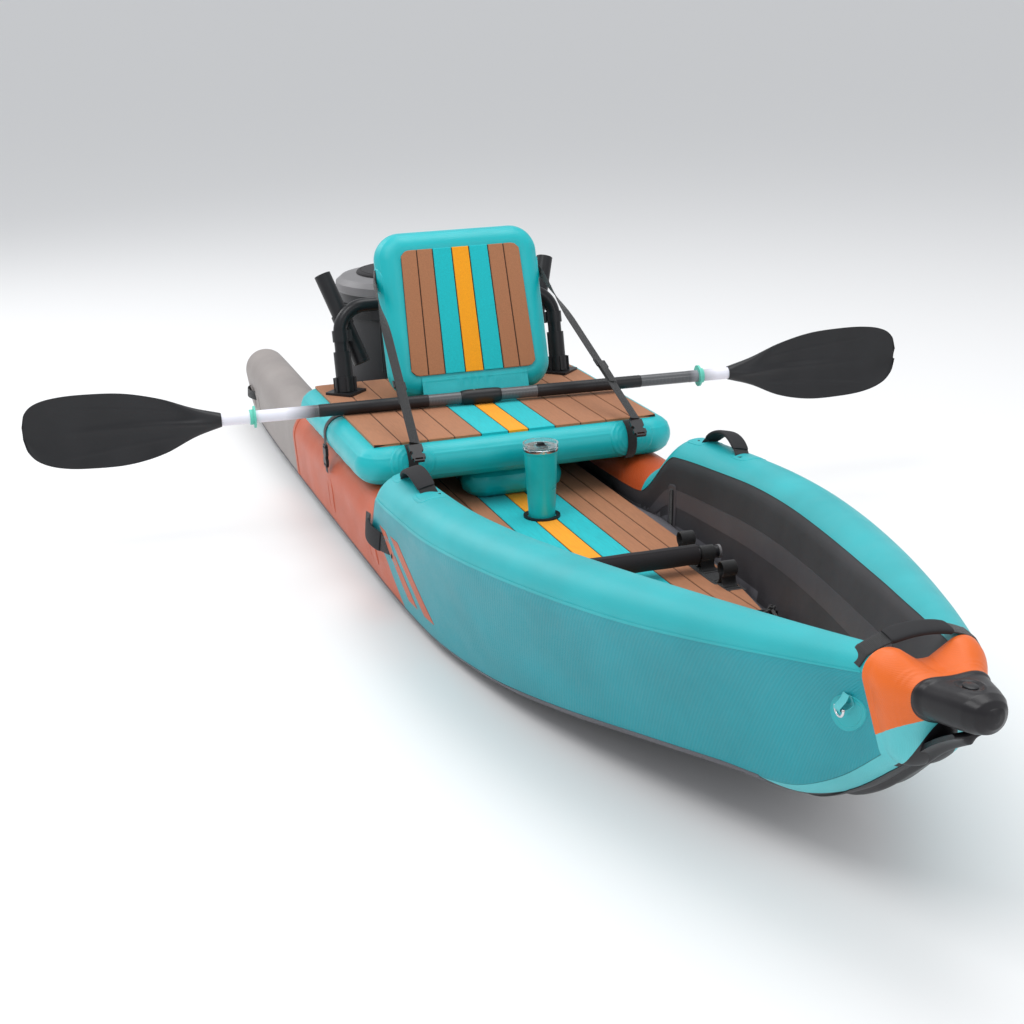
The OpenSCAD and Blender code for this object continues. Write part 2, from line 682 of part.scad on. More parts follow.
floor_chamber();
side_chamber_port();
side_chamber_starboard();
nose_collar();
nose_cap();
keel_guard();
floor_pad();
cup_ring();
bow_handle();
gunwale_handles();
side_handles();
stern_handles();
bow_ring_port();
bow_ring_starboard();
valve_bodies();
floor_valve_cap();
floor_valve_poppet();
port_valve_cap();
starboard_valve_cap();
brace_ladders();
brace_tube();
brace_foam();
brace_caps();
bungee();
bungee_anchors();
wall_slots();
bench_platform();
bench_pad();
bench_bolster();
bench_straps();
bench_buckles();
backrest_panel();
backrest_pad();
backrest_flap();
backrest_valve();
backrest_straps();
strap_sliders();
strap_buckles();
rack_bases();
rack_arch();
rod_holders();
holder_clamps();
cooler_bucket();
cooler_lid();
cooler_pad();
cooler_strap();
tumbler_cup();
tumbler_lid();
tumbler_slider();
shaft_port();
shaft_starboard();
blade_port();
blade_starboard();
ferrule();
ferrule_button();
drip_ring_port();
drip_ring_starboard();
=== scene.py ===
import json
import math

import bmesh
import bpy
import numpy as np
from mathutils import Matrix, Vector


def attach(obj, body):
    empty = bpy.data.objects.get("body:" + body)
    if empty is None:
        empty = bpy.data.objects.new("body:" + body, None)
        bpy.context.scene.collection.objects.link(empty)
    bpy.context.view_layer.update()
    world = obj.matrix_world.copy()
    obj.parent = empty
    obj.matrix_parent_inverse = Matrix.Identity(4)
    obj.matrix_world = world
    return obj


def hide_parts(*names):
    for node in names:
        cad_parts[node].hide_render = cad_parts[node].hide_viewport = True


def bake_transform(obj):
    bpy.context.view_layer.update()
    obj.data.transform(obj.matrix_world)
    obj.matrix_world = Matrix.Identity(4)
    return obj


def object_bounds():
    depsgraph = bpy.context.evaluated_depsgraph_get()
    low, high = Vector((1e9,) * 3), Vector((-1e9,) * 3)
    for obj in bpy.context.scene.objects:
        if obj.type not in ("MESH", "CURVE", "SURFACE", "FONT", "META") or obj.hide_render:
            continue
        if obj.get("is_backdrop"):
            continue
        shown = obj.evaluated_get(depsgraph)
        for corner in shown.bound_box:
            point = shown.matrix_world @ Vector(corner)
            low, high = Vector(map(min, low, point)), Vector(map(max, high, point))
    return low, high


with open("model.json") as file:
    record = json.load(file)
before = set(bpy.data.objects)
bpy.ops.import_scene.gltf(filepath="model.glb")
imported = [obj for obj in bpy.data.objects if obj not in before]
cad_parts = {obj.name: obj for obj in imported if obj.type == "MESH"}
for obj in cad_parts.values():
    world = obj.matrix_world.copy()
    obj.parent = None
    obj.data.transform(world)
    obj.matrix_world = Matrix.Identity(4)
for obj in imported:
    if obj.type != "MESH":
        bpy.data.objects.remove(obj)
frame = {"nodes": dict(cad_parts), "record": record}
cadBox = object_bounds()
nodes = frame["nodes"]
pi = math.pi

# ---- camera: stands off the starboard bow and looks down the boat ----
camera = {"at": (3.773, -1.322, 1.457), "yaw": 2.825, "pitch": -0.310, "roll": -0.0265, "lens": 59.77}


def placeCamera():
    yaw, pitch, roll = camera["yaw"], camera["pitch"], camera["roll"]
    ahead = Vector((math.cos(pitch) * math.cos(yaw), math.cos(pitch) * math.sin(yaw), math.sin(pitch)))
    right = ahead.cross(Vector((0, 0, 1))).normalized()
    up = right.cross(ahead)
    right, up = (math.cos(roll) * right + math.sin(roll) * up, -math.sin(roll) * right + math.cos(roll) * up)
    data = bpy.data.cameras.new("camera")
    data.lens, data.sensor_width, data.clip_end = camera["lens"], 36, 1000
    cam = bpy.data.objects.new("camera", data)
    bpy.context.scene.collection.objects.link(cam)
    cam.matrix_world = Matrix((right, up, -ahead)).transposed().to_4x4()
    cam.location = camera["at"]
    bpy.context.scene.camera = cam


placeCamera()

# ---- materials: one builder each for coated cloth, foam, webbing, plastic, metal and clear plastic ----


def nodeSet(name, colour, roughness, metallic=0.0):
    mat = bpy.data.materials.new(name)
    mat.use_nodes = True
    tree = mat.node_tree
    shader = tree.nodes["Principled BSDF"]
    shader.inputs["Roughness"].default_value = roughness
    shader.inputs["Metallic"].default_value = metallic
    shader.inputs["Base Color"].default_value = (*colour, 1)
    mat.diffuse_color = (*colour, 1)
    if max(colour) < 0.1:
        shader.inputs["Specular IOR Level"].default_value = 0.3
    return mat, tree, shader


def add(tree, kind, **values):
    node = tree.nodes.new("ShaderNode" + kind)
    for key, value in values.items():
        if key.startswith("in_"):
            node.inputs[int(key[3:])].default_value = value
        else:
            setattr(node, key, value)
    return node


def math2(tree, operation, a, b=None):
    node = tree.nodes.new("ShaderNodeMath")
    node.operation = operation
    for socket, value in zip(node.inputs, (a, b)):
        if value is None:
            continue
        if isinstance(value, (int, float)):
            socket.default_value = value
        else:
            tree.links.new(value, socket)
    return node.outputs[0]


def coordinates(tree, source, scale=(1, 1, 1), turn=0.0):
    place = tree.nodes.new("ShaderNodeTexCoord")
    mapping = tree.nodes.new("ShaderNodeMapping")
    mapping.inputs["Scale"].default_value = scale
    mapping.inputs["Rotation"].default_value = (0, 0, turn)
    tree.links.new(place.outputs[source], mapping.inputs["Vector"])
    return mapping.outputs["Vector"]


def noise(tree, vector, scale, detail=3.0, rough=0.5):
    node = tree.nodes.new("ShaderNodeTexNoise")
    node.inputs["Scale"].default_value = scale
    node.inputs["Detail"].default_value = detail
    node.inputs["Roughness"].default_value = rough
    tree.links.new(vector, node.inputs["Vector"])
    return node.outputs["Fac"]


def ramp(tree, value, low, high, colourA, colourB):
    node = tree.nodes.new("ShaderNodeValToRGB")
    node.color_ramp.elements[0].position, node.color_ramp.elements[1].position = low, high
    node.color_ramp.elements[0].color = (*colourA, 1)
    node.color_ramp.elements[1].color = (*colourB, 1)
    tree.links.new(value, node.inputs["Fac"])
    return node.outputs["Color"]


def bump(tree, shader, height, distance, strength=1.0, under=None):
    node = tree.nodes.new("ShaderNodeBump")
    node.inputs["Distance"].default_value = distance
    node.inputs["Strength"].default_value = strength
    tree.links.new(height, node.inputs["Height"])
    if under is not None:
        tree.links.new(under, node.inputs["Normal"])
    tree.links.new(node.outputs["Normal"], shader.inputs["Normal"])
    return node.outputs["Normal"]


def wave(tree, vector, period, axis):
    # one full wave of a sine for each period along the vector's x or y
    parts = tree.nodes.new("ShaderNodeSeparateXYZ")
    tree.links.new(vector, parts.inputs[0])
    return math2(tree, "SINE", math2(tree, "MULTIPLY", parts.outputs[axis], 2 * pi / period))


def shade(colour, k):
    return tuple(min(1.0, c * k) for c in colour)


def coatedCloth(name, colour, roughness=0.42, rib=0.0066, ribDepth=0.00022, source="UV", marks=0.12):
    # PVC over woven cloth: slanting ribs, a fine cross weave, cloudy colour and a few duller patches
    mat, tree, shader = nodeSet(name, colour, roughness)
    cloth = coordinates(tree, source, turn=0.72)
    place = coordinates(tree, "Object")
    ribs = wave(tree, cloth, rib, 0)
    cross = wave(tree, cloth, rib * 0.24, 1)
    height = math2(tree, "ADD", ribs, math2(tree, "MULTIPLY", cross, 0.35))
    soft = bump(tree, shader, noise(tree, place, 9, 2), 0.004, 0.25)
    bump(tree, shader, height, ribDepth, 0.8, soft)
    pale, deep = shade(colour, 1 + marks * 0.6), shade(colour, 1 - marks)
    cloud = ramp(tree, noise(tree, place, 5.5, 4), 0.3, 0.72, deep, pale)
    mix = add(tree, "Mix", data_type="RGBA", blend_type="MULTIPLY")
    mix.inputs["Factor"].default_value = 0.5
    tree.links.new(cloud, mix.inputs["A"])
    # painted shade: the colour is darkened in the troughs of the ribs, where the bump is lowest
    tree.links.new(ramp(tree, ribs, 0.0, 0.9, (0.86, 0.86, 0.86), (1, 1, 1)), mix.inputs["B"])
    tree.links.new(mix.outputs["Result"], shader.inputs["Base Color"])
    dull = math2(tree, "ADD", math2(tree, "MULTIPLY", noise(tree, place, 14, 5), 0.22), roughness - 0.11)
    tree.links.new(dull, shader.inputs["Roughness"])
    return mat


def brushedFoam(name, colour, stretch=(1, 14, 14)):
    # brushed deck foam: fine grain drawn out along the boat over a stipple
    mat, tree, shader = nodeSet(name, colour, 0.82)
    grain = noise(tree, coordinates(tree, "Object", stretch), 24, 6, 0.7)
    stipple = noise(tree, coordinates(tree, "Object"), 900, 2)
    tone = math2(tree, "ADD", math2(tree, "MULTIPLY", grain, 0.7), math2(tree, "MULTIPLY", stipple, 0.3))
    paint = ramp(tree, tone, 0.34, 0.68, shade(colour, 0.8), shade(colour, 1.12))
    tree.links.new(paint, shader.inputs["Base Color"])
    bump(tree, shader, tone, 0.0007, 0.6)
    shader.inputs["Sheen Weight"].default_value = 0.08
    return mat


def webbing(name, colour, source="UV", rough=0.78):
    # woven strap: cross ribs with lengthwise rows of stitches
    mat, tree, shader = nodeSet(name, colour, rough)
    cloth = coordinates(tree, source)
    across, along = wave(tree, cloth, 0.0024, 0), wave(tree, cloth, 0.0032, 1)
    weave = math2(tree, "MULTIPLY", across, along)
    height = math2(tree, "ADD", weave, math2(tree, "MULTIPLY", across, 0.5))
    bump(tree, shader, height, 0.0004, 0.7)
    # painted shade and painted highlight: the colour is darker in the weave's hollows and lighter on its
    # raised crossings
    tone = ramp(tree, math2(tree, "ADD", math2(tree, "MULTIPLY", weave, 0.3), 0.5), 0.2, 0.9,
                shade(colour, 0.6), shade(colour, 1.5))
    tree.links.new(tone, shader.inputs["Base Color"])
    shader.inputs["Sheen Weight"].default_value = 0.25
    return mat


def mouldedPlastic(name, colour, roughness=0.42, grain=420, depth=0.00012, metallic=0.0):
    # moulded or powder-coated surface: fine grain, faint clouding and uneven gloss
    mat, tree, shader = nodeSet(name, colour, roughness, metallic)
    place = coordinates(tree, "Object")
    fine, cloud = noise(tree, place, grain, 2), noise(tree, place, 11, 4)
    paint = ramp(tree, cloud, 0.3, 0.75, shade(colour, 0.86), shade(colour, 1.18))
    tree.links.new(paint, shader.inputs["Base Color"])
    gloss = math2(tree, "ADD", math2(tree, "MULTIPLY", cloud, 0.2), roughness - 0.1)
    tree.links.new(gloss, shader.inputs["Roughness"])
    bump(tree, shader, fine, depth, 0.6)
    return mat


def brushedSteel(name, colour=(0.7, 0.7, 0.72)):
    mat, tree, shader = nodeSet(name, colour, 0.26, 1.0)
    lines = noise(tree, coordinates(tree, "Object", (1, 1, 60)), 60, 4)
    tree.links.new(math2(tree, "ADD", math2(tree, "MULTIPLY", lines, 0.2), 0.14), shader.inputs["Roughness"])
    bump(tree, shader, lines, 0.00004, 0.4)
    return mat


def carbonTube(name, colour=(0.085, 0.087, 0.092)):
    # carbon tube under a satin coat: a fine twill that shows in the gloss
    mat, tree, shader = nodeSet(name, colour, 0.34)
    place = coordinates(tree, "Object", turn=0.08)
    twill = math2(tree, "MULTIPLY", wave(tree, place, 0.004, 1), wave(tree, place, 0.004, 0))
    tree.links.new(ramp(tree, math2(tree, "ADD", math2(tree, "MULTIPLY", twill, 0.5), 0.5), 0.2, 0.8,
                        shade(colour, 0.75), shade(colour, 1.5)), shader.inputs["Base Color"])
    bump(tree, shader, noise(tree, place, 300, 2), 0.00005, 0.5)
    shader.inputs["Coat Weight"].default_value = 0.3
    return mat


def clearPlastic(name):
    mat, tree, shader = nodeSet(name, (0.93, 0.96, 0.97), 0.06)
    shader.inputs["Transmission Weight"].default_value = 0.9
    shader.inputs["IOR"].default_value = 1.49
    bump(tree, shader, noise(tree, coordinates(tree, "Object"), 60, 2), 0.0001, 0.3)
    return mat


def fadedWhite(name):
    # white band on the shaft that fades into the carbon towards the grip: the fade runs along the UV's u
    mat, tree, shader = nodeSet(name, (0.82, 0.81, 0.88), 0.4)
    parts = tree.nodes.new("ShaderNodeSeparateXYZ")
    tree.links.new(coordinates(tree, "UV"), parts.inputs[0])
    speck = noise(tree, coordinates(tree, "Object"), 500, 2)
    fade = math2(tree, "ADD", parts.outputs[0], math2(tree, "MULTIPLY", speck, 0.01))
    paint = ramp(tree, math2(tree, "MULTIPLY", fade, 4.0), 0.02, 0.34, (0.09, 0.09, 0.1), (0.83, 0.82, 0.9))
    tree.links.new(paint, shader.inputs["Base Color"])
    return mat


tones = {
    "teal": (0.004, 0.33, 0.39), "tealTop": (0.016, 0.45, 0.49), "seatTeal": (0.0, 0.48, 0.52),
    "hullOrange": (0.56, 0.088, 0.02), "stripeOrange": (1.0, 0.36, 0.0), "collar": (0.86, 0.15, 0.008),
    "sternGrey": (0.33, 0.295, 0.28), "charcoal": (0.052, 0.048, 0.053), "underGrey": (0.13, 0.125, 0.14),
    "brown": (0.40, 0.165, 0.075), "black": (0.012, 0.011, 0.013),
}
cloths = {
    "teal": coatedCloth("teal_cloth", tones["teal"]),
    "tealTop": coatedCloth("teal_top_cloth", tones["tealTop"], 0.4, 0.0035, 0.00008),
    "seatTeal": coatedCloth("seat_cloth", tones["seatTeal"], 0.36, 0.003, 0.00007, marks=0.06),
    "weld": coatedCloth("weld_cloth", (0.1, 0.58, 0.62), 0.34, 0.003, 0.00006),
    "orange": coatedCloth("orange_cloth", tones["hullOrange"], 0.4, 0.0066, 0.0002),
    "collar": coatedCloth("collar_cloth", tones["collar"], 0.4, 0.003, 0.0001),
    "grey": coatedCloth("stern_cloth", tones["sternGrey"], 0.5, 0.0066, 0.0002),
    "charcoal": coatedCloth("inner_cloth", tones["charcoal"], 0.46, 0.004, 0.00016, marks=0.2),
    "under": coatedCloth("under_cloth", tones["underGrey"], 0.5, 0.004, 0.00016, marks=0.2),
    "tape": coatedCloth("seam_tape", shade(tones["charcoal"], 1.7), 0.34, 0.003, 0.00006),
}
foams = {
    "brown": brushedFoam("brown_foam", tones["brown"]),
    "teal": brushedFoam("teal_foam", (0.0, 0.50, 0.545)),
    "orange": brushedFoam("orange_foam", tones["stripeOrange"]),
    "groove": brushedFoam("groove_foam", (0.035, 0.016, 0.01)),
    "black": brushedFoam("black_foam", (0.016, 0.014, 0.016)),
}
strapBlack = webbing("black_webbing", (0.014, 0.014, 0.015))
capRubber = mouldedPlastic("cap_rubber", (0.014, 0.013, 0.015), 0.36, 300, 0.0002)
neoprene = mouldedPlastic("sleeve_neoprene", (0.02, 0.02, 0.022), 0.75, 700, 0.0004)
blackPlastic = mouldedPlastic("black_plastic", (0.016, 0.016, 0.018), 0.38)
bladeNylon = mouldedPlastic("blade_nylon", (0.017, 0.017, 0.019), 0.4, 250, 0.0002)
finishes = {  # what each CAD node that stays visible is made of, by the record's slot
    "black_plastic": blackPlastic,
    "grey_plastic": mouldedPlastic("grey_plastic", (0.16, 0.155, 0.16), 0.42),
    "orange_plastic": mouldedPlastic("orange_plastic", (0.8, 0.22, 0.03), 0.4),
    "steel": brushedSteel("steel"),
    "rack_metal": mouldedPlastic("rack_coat", (0.014, 0.014, 0.016), 0.3, 600, 0.00005),
    "cup_paint": mouldedPlastic("cup_coat", (0.01, 0.50, 0.52), 0.3, 900, 0.00006),
    "clear_plastic": clearPlastic("clear_plastic"),
    "carbon": carbonTube("carbon_tube"),
    "blade_plastic": bladeNylon,
    "drip_rubber": mouldedPlastic("drip_rubber", (0.13, 0.60, 0.48), 0.5),
    "cooler_shell": mouldedPlastic("cooler_shell", (0.028, 0.028, 0.031), 0.4, 200, 0.0003),
    "webbing": strapBlack,
}
slotOf = {s["node"]: s["material_slot"] for s in frame["record"]["subparts"]}
for nodeName, node in nodes.items():
    node.data.materials.clear()
    node.data.materials.append(finishes.get(slotOf[nodeName], blackPlastic))
print("materials ready")

# ---- mesh helpers ----


def arcLengths(points):
    # metres run along the middle column and the middle row of a grid
    rows, cols = points.shape[:2]
    down = np.linalg.norm(np.diff(points[:, cols // 2], axis=0), axis=1)
    over = np.linalg.norm(np.diff(points[rows // 2], axis=0), axis=1)
    return np.concatenate([[0], np.cumsum(down)]), np.concatenate([[0], np.cumsum(over)])


def gridQuads(rows, cols, first):
    i = np.arange(rows - 1)[:, None] * cols + np.arange(cols - 1)
    return np.stack([i, i + 1, i + cols + 1, i + cols], -1).reshape(-1, 4) + first


def piece(name, grids, materials, body="hull", sharp=35.0, outward=True):
    # joins point grids into one mesh: a grid is points, or (points, material number), or with its own uv too
    verts, quads, uvs, mats, first = [], [], [], [], 0
    for grid in grids:
        points, mat, uv = (grid, 0, None) if isinstance(grid, np.ndarray) else (*grid, None)[:3]
        rows, cols = points.shape[:2]
        if uv is None:
            down, over = arcLengths(points)
            uv = np.stack(np.broadcast_arrays(down[:, None], over[None, :]), -1)
        q = gridQuads(rows, cols, first)
        verts.append(points.reshape(-1, 3))
        uvs.append(uv.reshape(-1, 2))
        quads.append(q)
        mats.append(np.full(len(q), mat))
        first += rows * cols
    verts, quads, uvs, mats = (np.concatenate(a) for a in (verts, quads, uvs, mats))
    mesh = bpy.data.meshes.new(name)
    mesh.vertices.add(len(verts))
    mesh.vertices.foreach_set("co", verts.astype(np.float32).ravel())
    mesh.loops.add(len(quads) * 4)
    mesh.loops.foreach_set("vertex_index", quads.astype(np.int32).ravel())
    mesh.polygons.add(len(quads))
    mesh.polygons.foreach_set("loop_start", np.arange(0, len(quads) * 4, 4, dtype=np.int32))
    mesh.polygons.foreach_set("material_index", mats.astype(np.int32))
    mesh.update(calc_edges=True)
    layer = mesh.uv_layers.new(name="cloth")
    layer.data.foreach_set("uv", uvs[quads.ravel()].astype(np.float32).ravel())
    work = bmesh.new()
    work.from_mesh(mesh)
    bmesh.ops.remove_doubles(work, verts=work.verts, dist=1e-6)
    bmesh.ops.dissolve_degenerate(work, edges=work.edges, dist=1e-7)
    if outward:
        bmesh.ops.recalc_face_normals(work, faces=work.faces)
    work.to_mesh(mesh)
    work.free()
    mesh.shade_smooth()
    mesh.set_sharp_from_angle(angle=math.radians(sharp))
    for m in (materials if isinstance(materials, (list, tuple)) else [materials]):
        mesh.materials.append(m)
    obj = bpy.data.objects.new(name, mesh)
    bpy.context.scene.collection.objects.link(obj)
    if body:
        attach(obj, body)
    return obj


def slab(top, bottom):
    # closed skin round two grids of one size: the top, the bottom and the four edges between them
    return [top, bottom[:, ::-1], np.stack([bottom[0], top[0]]), np.stack([top[-1], bottom[-1]]),
            np.stack([top[:, 0], bottom[:, 0]]), np.stack([bottom[:, -1], top[:, -1]])]


def ease(t):
    t = np.clip(t, 0, 1)
    return t * t * (3 - 2 * t)


def along(points, count):
    # a smooth curve through a few points, resampled evenly: Catmull-Rom between them
    p = np.asarray(points, float)
    p = np.vstack([2 * p[0] - p[1], p, 2 * p[-1] - p[-2]])
    t = np.linspace(0, len(p) - 3 - 1e-9, count * 4)
    i = t.astype(int)
    f = (t - i)[:, None]
    a, b, c, d = p[i], p[i + 1], p[i + 2], p[i + 3]
    q = 0.5 * (2 * b + (c - a) * f + (2 * a - 5 * b + 4 * c - d) * f**2 + (3 * b - a - 3 * c + d) * f**3)
    run = np.concatenate([[0], np.cumsum(np.linalg.norm(np.diff(q, axis=0), axis=1))])
    even = np.linspace(0, run[-1], count)
    return np.stack([np.interp(even, run, q[:, k]) for k in range(3)], -1)


def unit(v):
    return v / np.maximum(np.linalg.norm(v, axis=-1, keepdims=True), 1e-12)


def frames(path, side):
    # direction, sideways and upward vectors at each point of a path, for a given rough sideways direction
    way = unit(np.gradient(path, axis=0))
    up = unit(np.cross(way, np.broadcast_to(np.asarray(side, float), way.shape)))
    return way, np.cross(up, way), up


def closedRing(profile):
    return np.vstack([profile, profile[:1]])


def capped(skin):
    # closes both ends of a skin at their middles
    ends = [np.broadcast_to(skin[k].mean(0), skin[k].shape)[None] for k in (0, -1)]
    return np.concatenate([ends[0], skin, ends[1]])


def squarish(v, power):
    # a sine or cosine with its peaks broadened, which turns a circle into a rounded square
    return np.sign(v) * abs(v) ** power


def bell(x, width, power=2):
    # one smooth bump of height 1 at x = 0
    return np.exp(-((x / width) ** power))


def sweep(path, profile, side, scale=None):
    # carries a closed profile (sideways, up) along a path, with both ends closed at their middles
    _, sideways, up = frames(path, side)
    ring = closedRing(np.asarray(profile, float))
    size = np.ones((len(path), 1, 1)) if scale is None else np.asarray(scale, float).reshape(len(path), 1, -1)
    flat = ring[None] * size
    return capped(path[:, None] + sideways[:, None] * flat[..., :1] + up[:, None] * flat[..., 1:])


def roundBar(width, height, power=4.0, count=28):
    # outline of a strap or pad: a squarish ellipse
    a = np.arange(count) * 2 * pi / count
    c, s = np.cos(a), np.sin(a)
    return np.stack([width / 2 * squarish(c, 2 / power), height / 2 * squarish(s, 2 / power)], -1)


def revolve(profile, count=64):
    # turns (radius, height) about z; the ends of the profile are on the axis
    a = np.linspace(0, 2 * pi, count + 1)
    r, z = np.asarray(profile, float).T[..., None]
    return np.stack(np.broadcast_arrays(r * np.cos(a), r * np.sin(a), z), -1)


def turned(points, axis, degrees):
    return points @ np.array(Matrix.Rotation(math.radians(degrees), 3, axis)).T


def mirrored(points, side):
    return points * np.array([1, side, 1])


sides = ((1, "port"), (-1, "starboard"))

# ---- hull lines, in metres: [station, value] along the boat ----
hull = {
    "keel": [[-1.905, 0], [-0.6, 0], [0.35, 0], [0.65, 0.02], [0.9, 0.054], [1.15, 0.092], [1.35, 0.118],
             [1.5, 0.134], [1.6, 0.185], [1.7, 0.265], [1.78, 0.335], [1.86, 0.385], [1.905, 0.405]],
    "chine": [[-1.905, 0.39], [-1.5, 0.406], [-0.9, 0.412], [0, 0.41], [0.3, 0.4], [0.5, 0.38], [0.7, 0.352],
              [0.9, 0.31], [1.1, 0.254], [1.3, 0.188], [1.5, 0.118], [1.62, 0.084], [1.72, 0.066]],
    "top": [[-1.905, 0.345], [-1.4, 0.345], [-0.9, 0.345], [-0.1, 0.348], [0.1, 0.374], [0.3, 0.379],
            [0.5, 0.374], [0.7, 0.351], [0.9, 0.312], [1.1, 0.262], [1.3, 0.204], [1.5, 0.14], [1.6, 0.105],
            [1.72, 0.06]],
    "topRadius": [[-1.905, 0.066], [-1.4, 0.07], [-0.9, 0.075], [-0.1, 0.076], [0.1, 0.072], [0.9, 0.069],
                  [1.2, 0.064], [1.4, 0.055], [1.6, 0.042], [1.72, 0.034]],
    "chineRadius": 0.056, "lowGunwale": 0.235, "highGunwale": 0.334, "sheer": 0.081, "sternRise": 0.015,
    "stepAft": -0.06, "stepFore": 0.09, "stern": -1.905, "bow": 1.72, "floorTop": 0.15, "floorAft": -1.5,
}


def follow(name, x):
    # smooth curve through a table's points: cubic between neighbours, with slopes from the points either side
    table = np.array(hull[name] if isinstance(name, str) else name, float)
    x = np.asarray(x, float)
    i = np.clip(np.searchsorted(table[:, 0], x, side="right") - 1, 0, len(table) - 2)
    a, b, c, d = (table[np.clip(i + k, 0, len(table) - 1)] for k in (-1, 0, 1, 2))
    h = c[..., 0] - b[..., 0]
    t = (x - b[..., 0]) / h
    m, n = ((q[..., 1] - p[..., 1]) / (q[..., 0] - p[..., 0]) * h for p, q in ((a, c), (b, d)))
    return ((2 * t**3 - 3 * t**2 + 1) * b[..., 1] + (t**3 - 2 * t**2 + t) * m
            + (3 * t**2 - 2 * t**3) * c[..., 1] + (t**3 - t**2) * n)


def crest(x):
    step = ease((x - hull["stepAft"]) / (hull["stepFore"] - hull["stepAft"]))
    low = hull["lowGunwale"] + hull["sternRise"] * ease((-1.1 - x) / 0.8)
    return low + (hull["highGunwale"] + hull["sheer"] * np.maximum(x, 0) - hull["lowGunwale"]) * step


def floorHalf(x):
    return np.minimum(follow("chine", x) - 2 * hull["chineRadius"],
                      follow("top", x) - follow("topRadius", x)) - 0.001


def floorRise(x):
    return 0.06 * ease((np.asarray(x, float) - 0.5) / 1.1)


def wall(x, s, lift=0.0, side=1, full=1.0):
    # a point on a side wall: s is 0 to 1 round the chine, to 2 up the outside, to 3 over the gunwale and to 4
    # down inside; each round is a circle, and the flanks are the straight lines that touch both
    x, s, lift = np.broadcast_arrays(np.asarray(x, float), np.asarray(s, float), np.asarray(lift, float))
    rb, rt = hull["chineRadius"] * full, follow("topRadius", x) * full
    by, bz = follow("chine", x) - hull["chineRadius"], np.maximum(follow("keel", x), 0) + hull["chineRadius"]
    ty, tz = follow("top", x), crest(x) - follow("topRadius", x)
    run, lean = np.hypot(ty - by, tz - bz), np.arctan2(tz - bz, ty - by)
    b = np.arccos(np.clip((rb - rt) / run, -1, 1))
    angle = np.where(s <= 1, lean + b + (2 * pi - 2 * b) * s,
                     np.where(s <= 2, lean - b, np.where(s <= 3, lean - b + 2 * b * (s - 2), lean + b)))
    w = np.clip(np.where(s <= 2.5, s - 1, 4 - s), 0, 1)
    r = rb + w * (rt - rb) + lift
    y, z = by + w * (ty - by) + r * np.cos(angle), bz + w * (tz - bz) + r * np.sin(angle)
    return np.stack([x, side * np.maximum(y, 0.0006 + 0 * y), z], -1)


def faceCentres(obj):
    centre = np.empty(len(obj.data.polygons) * 3)
    obj.data.polygons.foreach_get("center", centre)
    return centre.reshape(-1, 3)


def sideWall(side, name):
    fore = np.concatenate([np.linspace(hull["bow"], 0.12, 150), np.linspace(0.11, -0.08, 30)])
    aft = hull["stern"] + 0.065 * (1 - np.linspace(0.04, 1, 14)) ** 2
    x = np.concatenate([fore, np.linspace(-0.09, -1.84, 120), aft])
    s = np.concatenate([np.linspace(0, 1, 24)[:-1], np.linspace(1, 2, 16)[:-1], np.linspace(2, 3, 34)[:-1],
                        np.linspace(3, 4, 12)])
    t = np.clip((x - hull["stern"]) / 0.06, 0, 1)
    full = np.maximum(np.sqrt(1 - (1 - t) ** 2), 0.12)[:, None]
    skin = wall(x[:, None], s[None], 0.0, side, full)
    coats = [cloths["charcoal"], cloths["under"], cloths["grey"]]
    obj = piece(name, [capped(skin)], coats)
    centre = faceCentres(obj)
    middle = follow("top", np.clip(centre[:, 0], -1.9, 1.71))
    coat = ((abs(centre[:, 1]) > middle - 0.01) | (centre[:, 2] < 0.14)) * 1
    coat[(centre[:, 0] < hull["stern"] + 0.064) & (centre[:, 2] > 0.05)] = 2
    obj.data.polygons.foreach_set("material_index", coat.astype(np.int32))
    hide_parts(name)


def wallPatch(name, side, material, s, xAft, xFore, count=90, lift=0.0013):
    # panel welded on a wall between two straight or slanting ends: x runs from xAft(s) to xFore(s)
    s = np.asarray(s, float)
    u = np.linspace(0, 1, count)[:, None]
    aft, fore = (np.broadcast_to(f(s) if callable(f) else f, s.shape)[None] for f in (xAft, xFore))
    x = aft + (fore - aft) * u
    top, low = (wall(x, s[None], k, side) for k in (lift, -0.001))
    piece(name, slab(top, low), material, sharp=60)


panels = {
    "low": 0.93, "seam": 2.13, "inner": 2.86, "lift": 0.0013,
    "greyFore": -1.02, "shoulder": -0.05, "bowEnd": 1.7195,
    "slant": [[0.93, 0.16], [2.13, -0.055]],
    # each bar: x and s at its top, x and s at its foot, half its width
    "bars": [[0.12, 1.85, 0.25, 1.15, 0.03], [0.23, 1.85, 0.36, 1.15, 0.03]],
}


def slant(s):
    table = np.array(panels["slant"])
    return np.interp(s, table[:, 0], table[:, 1])


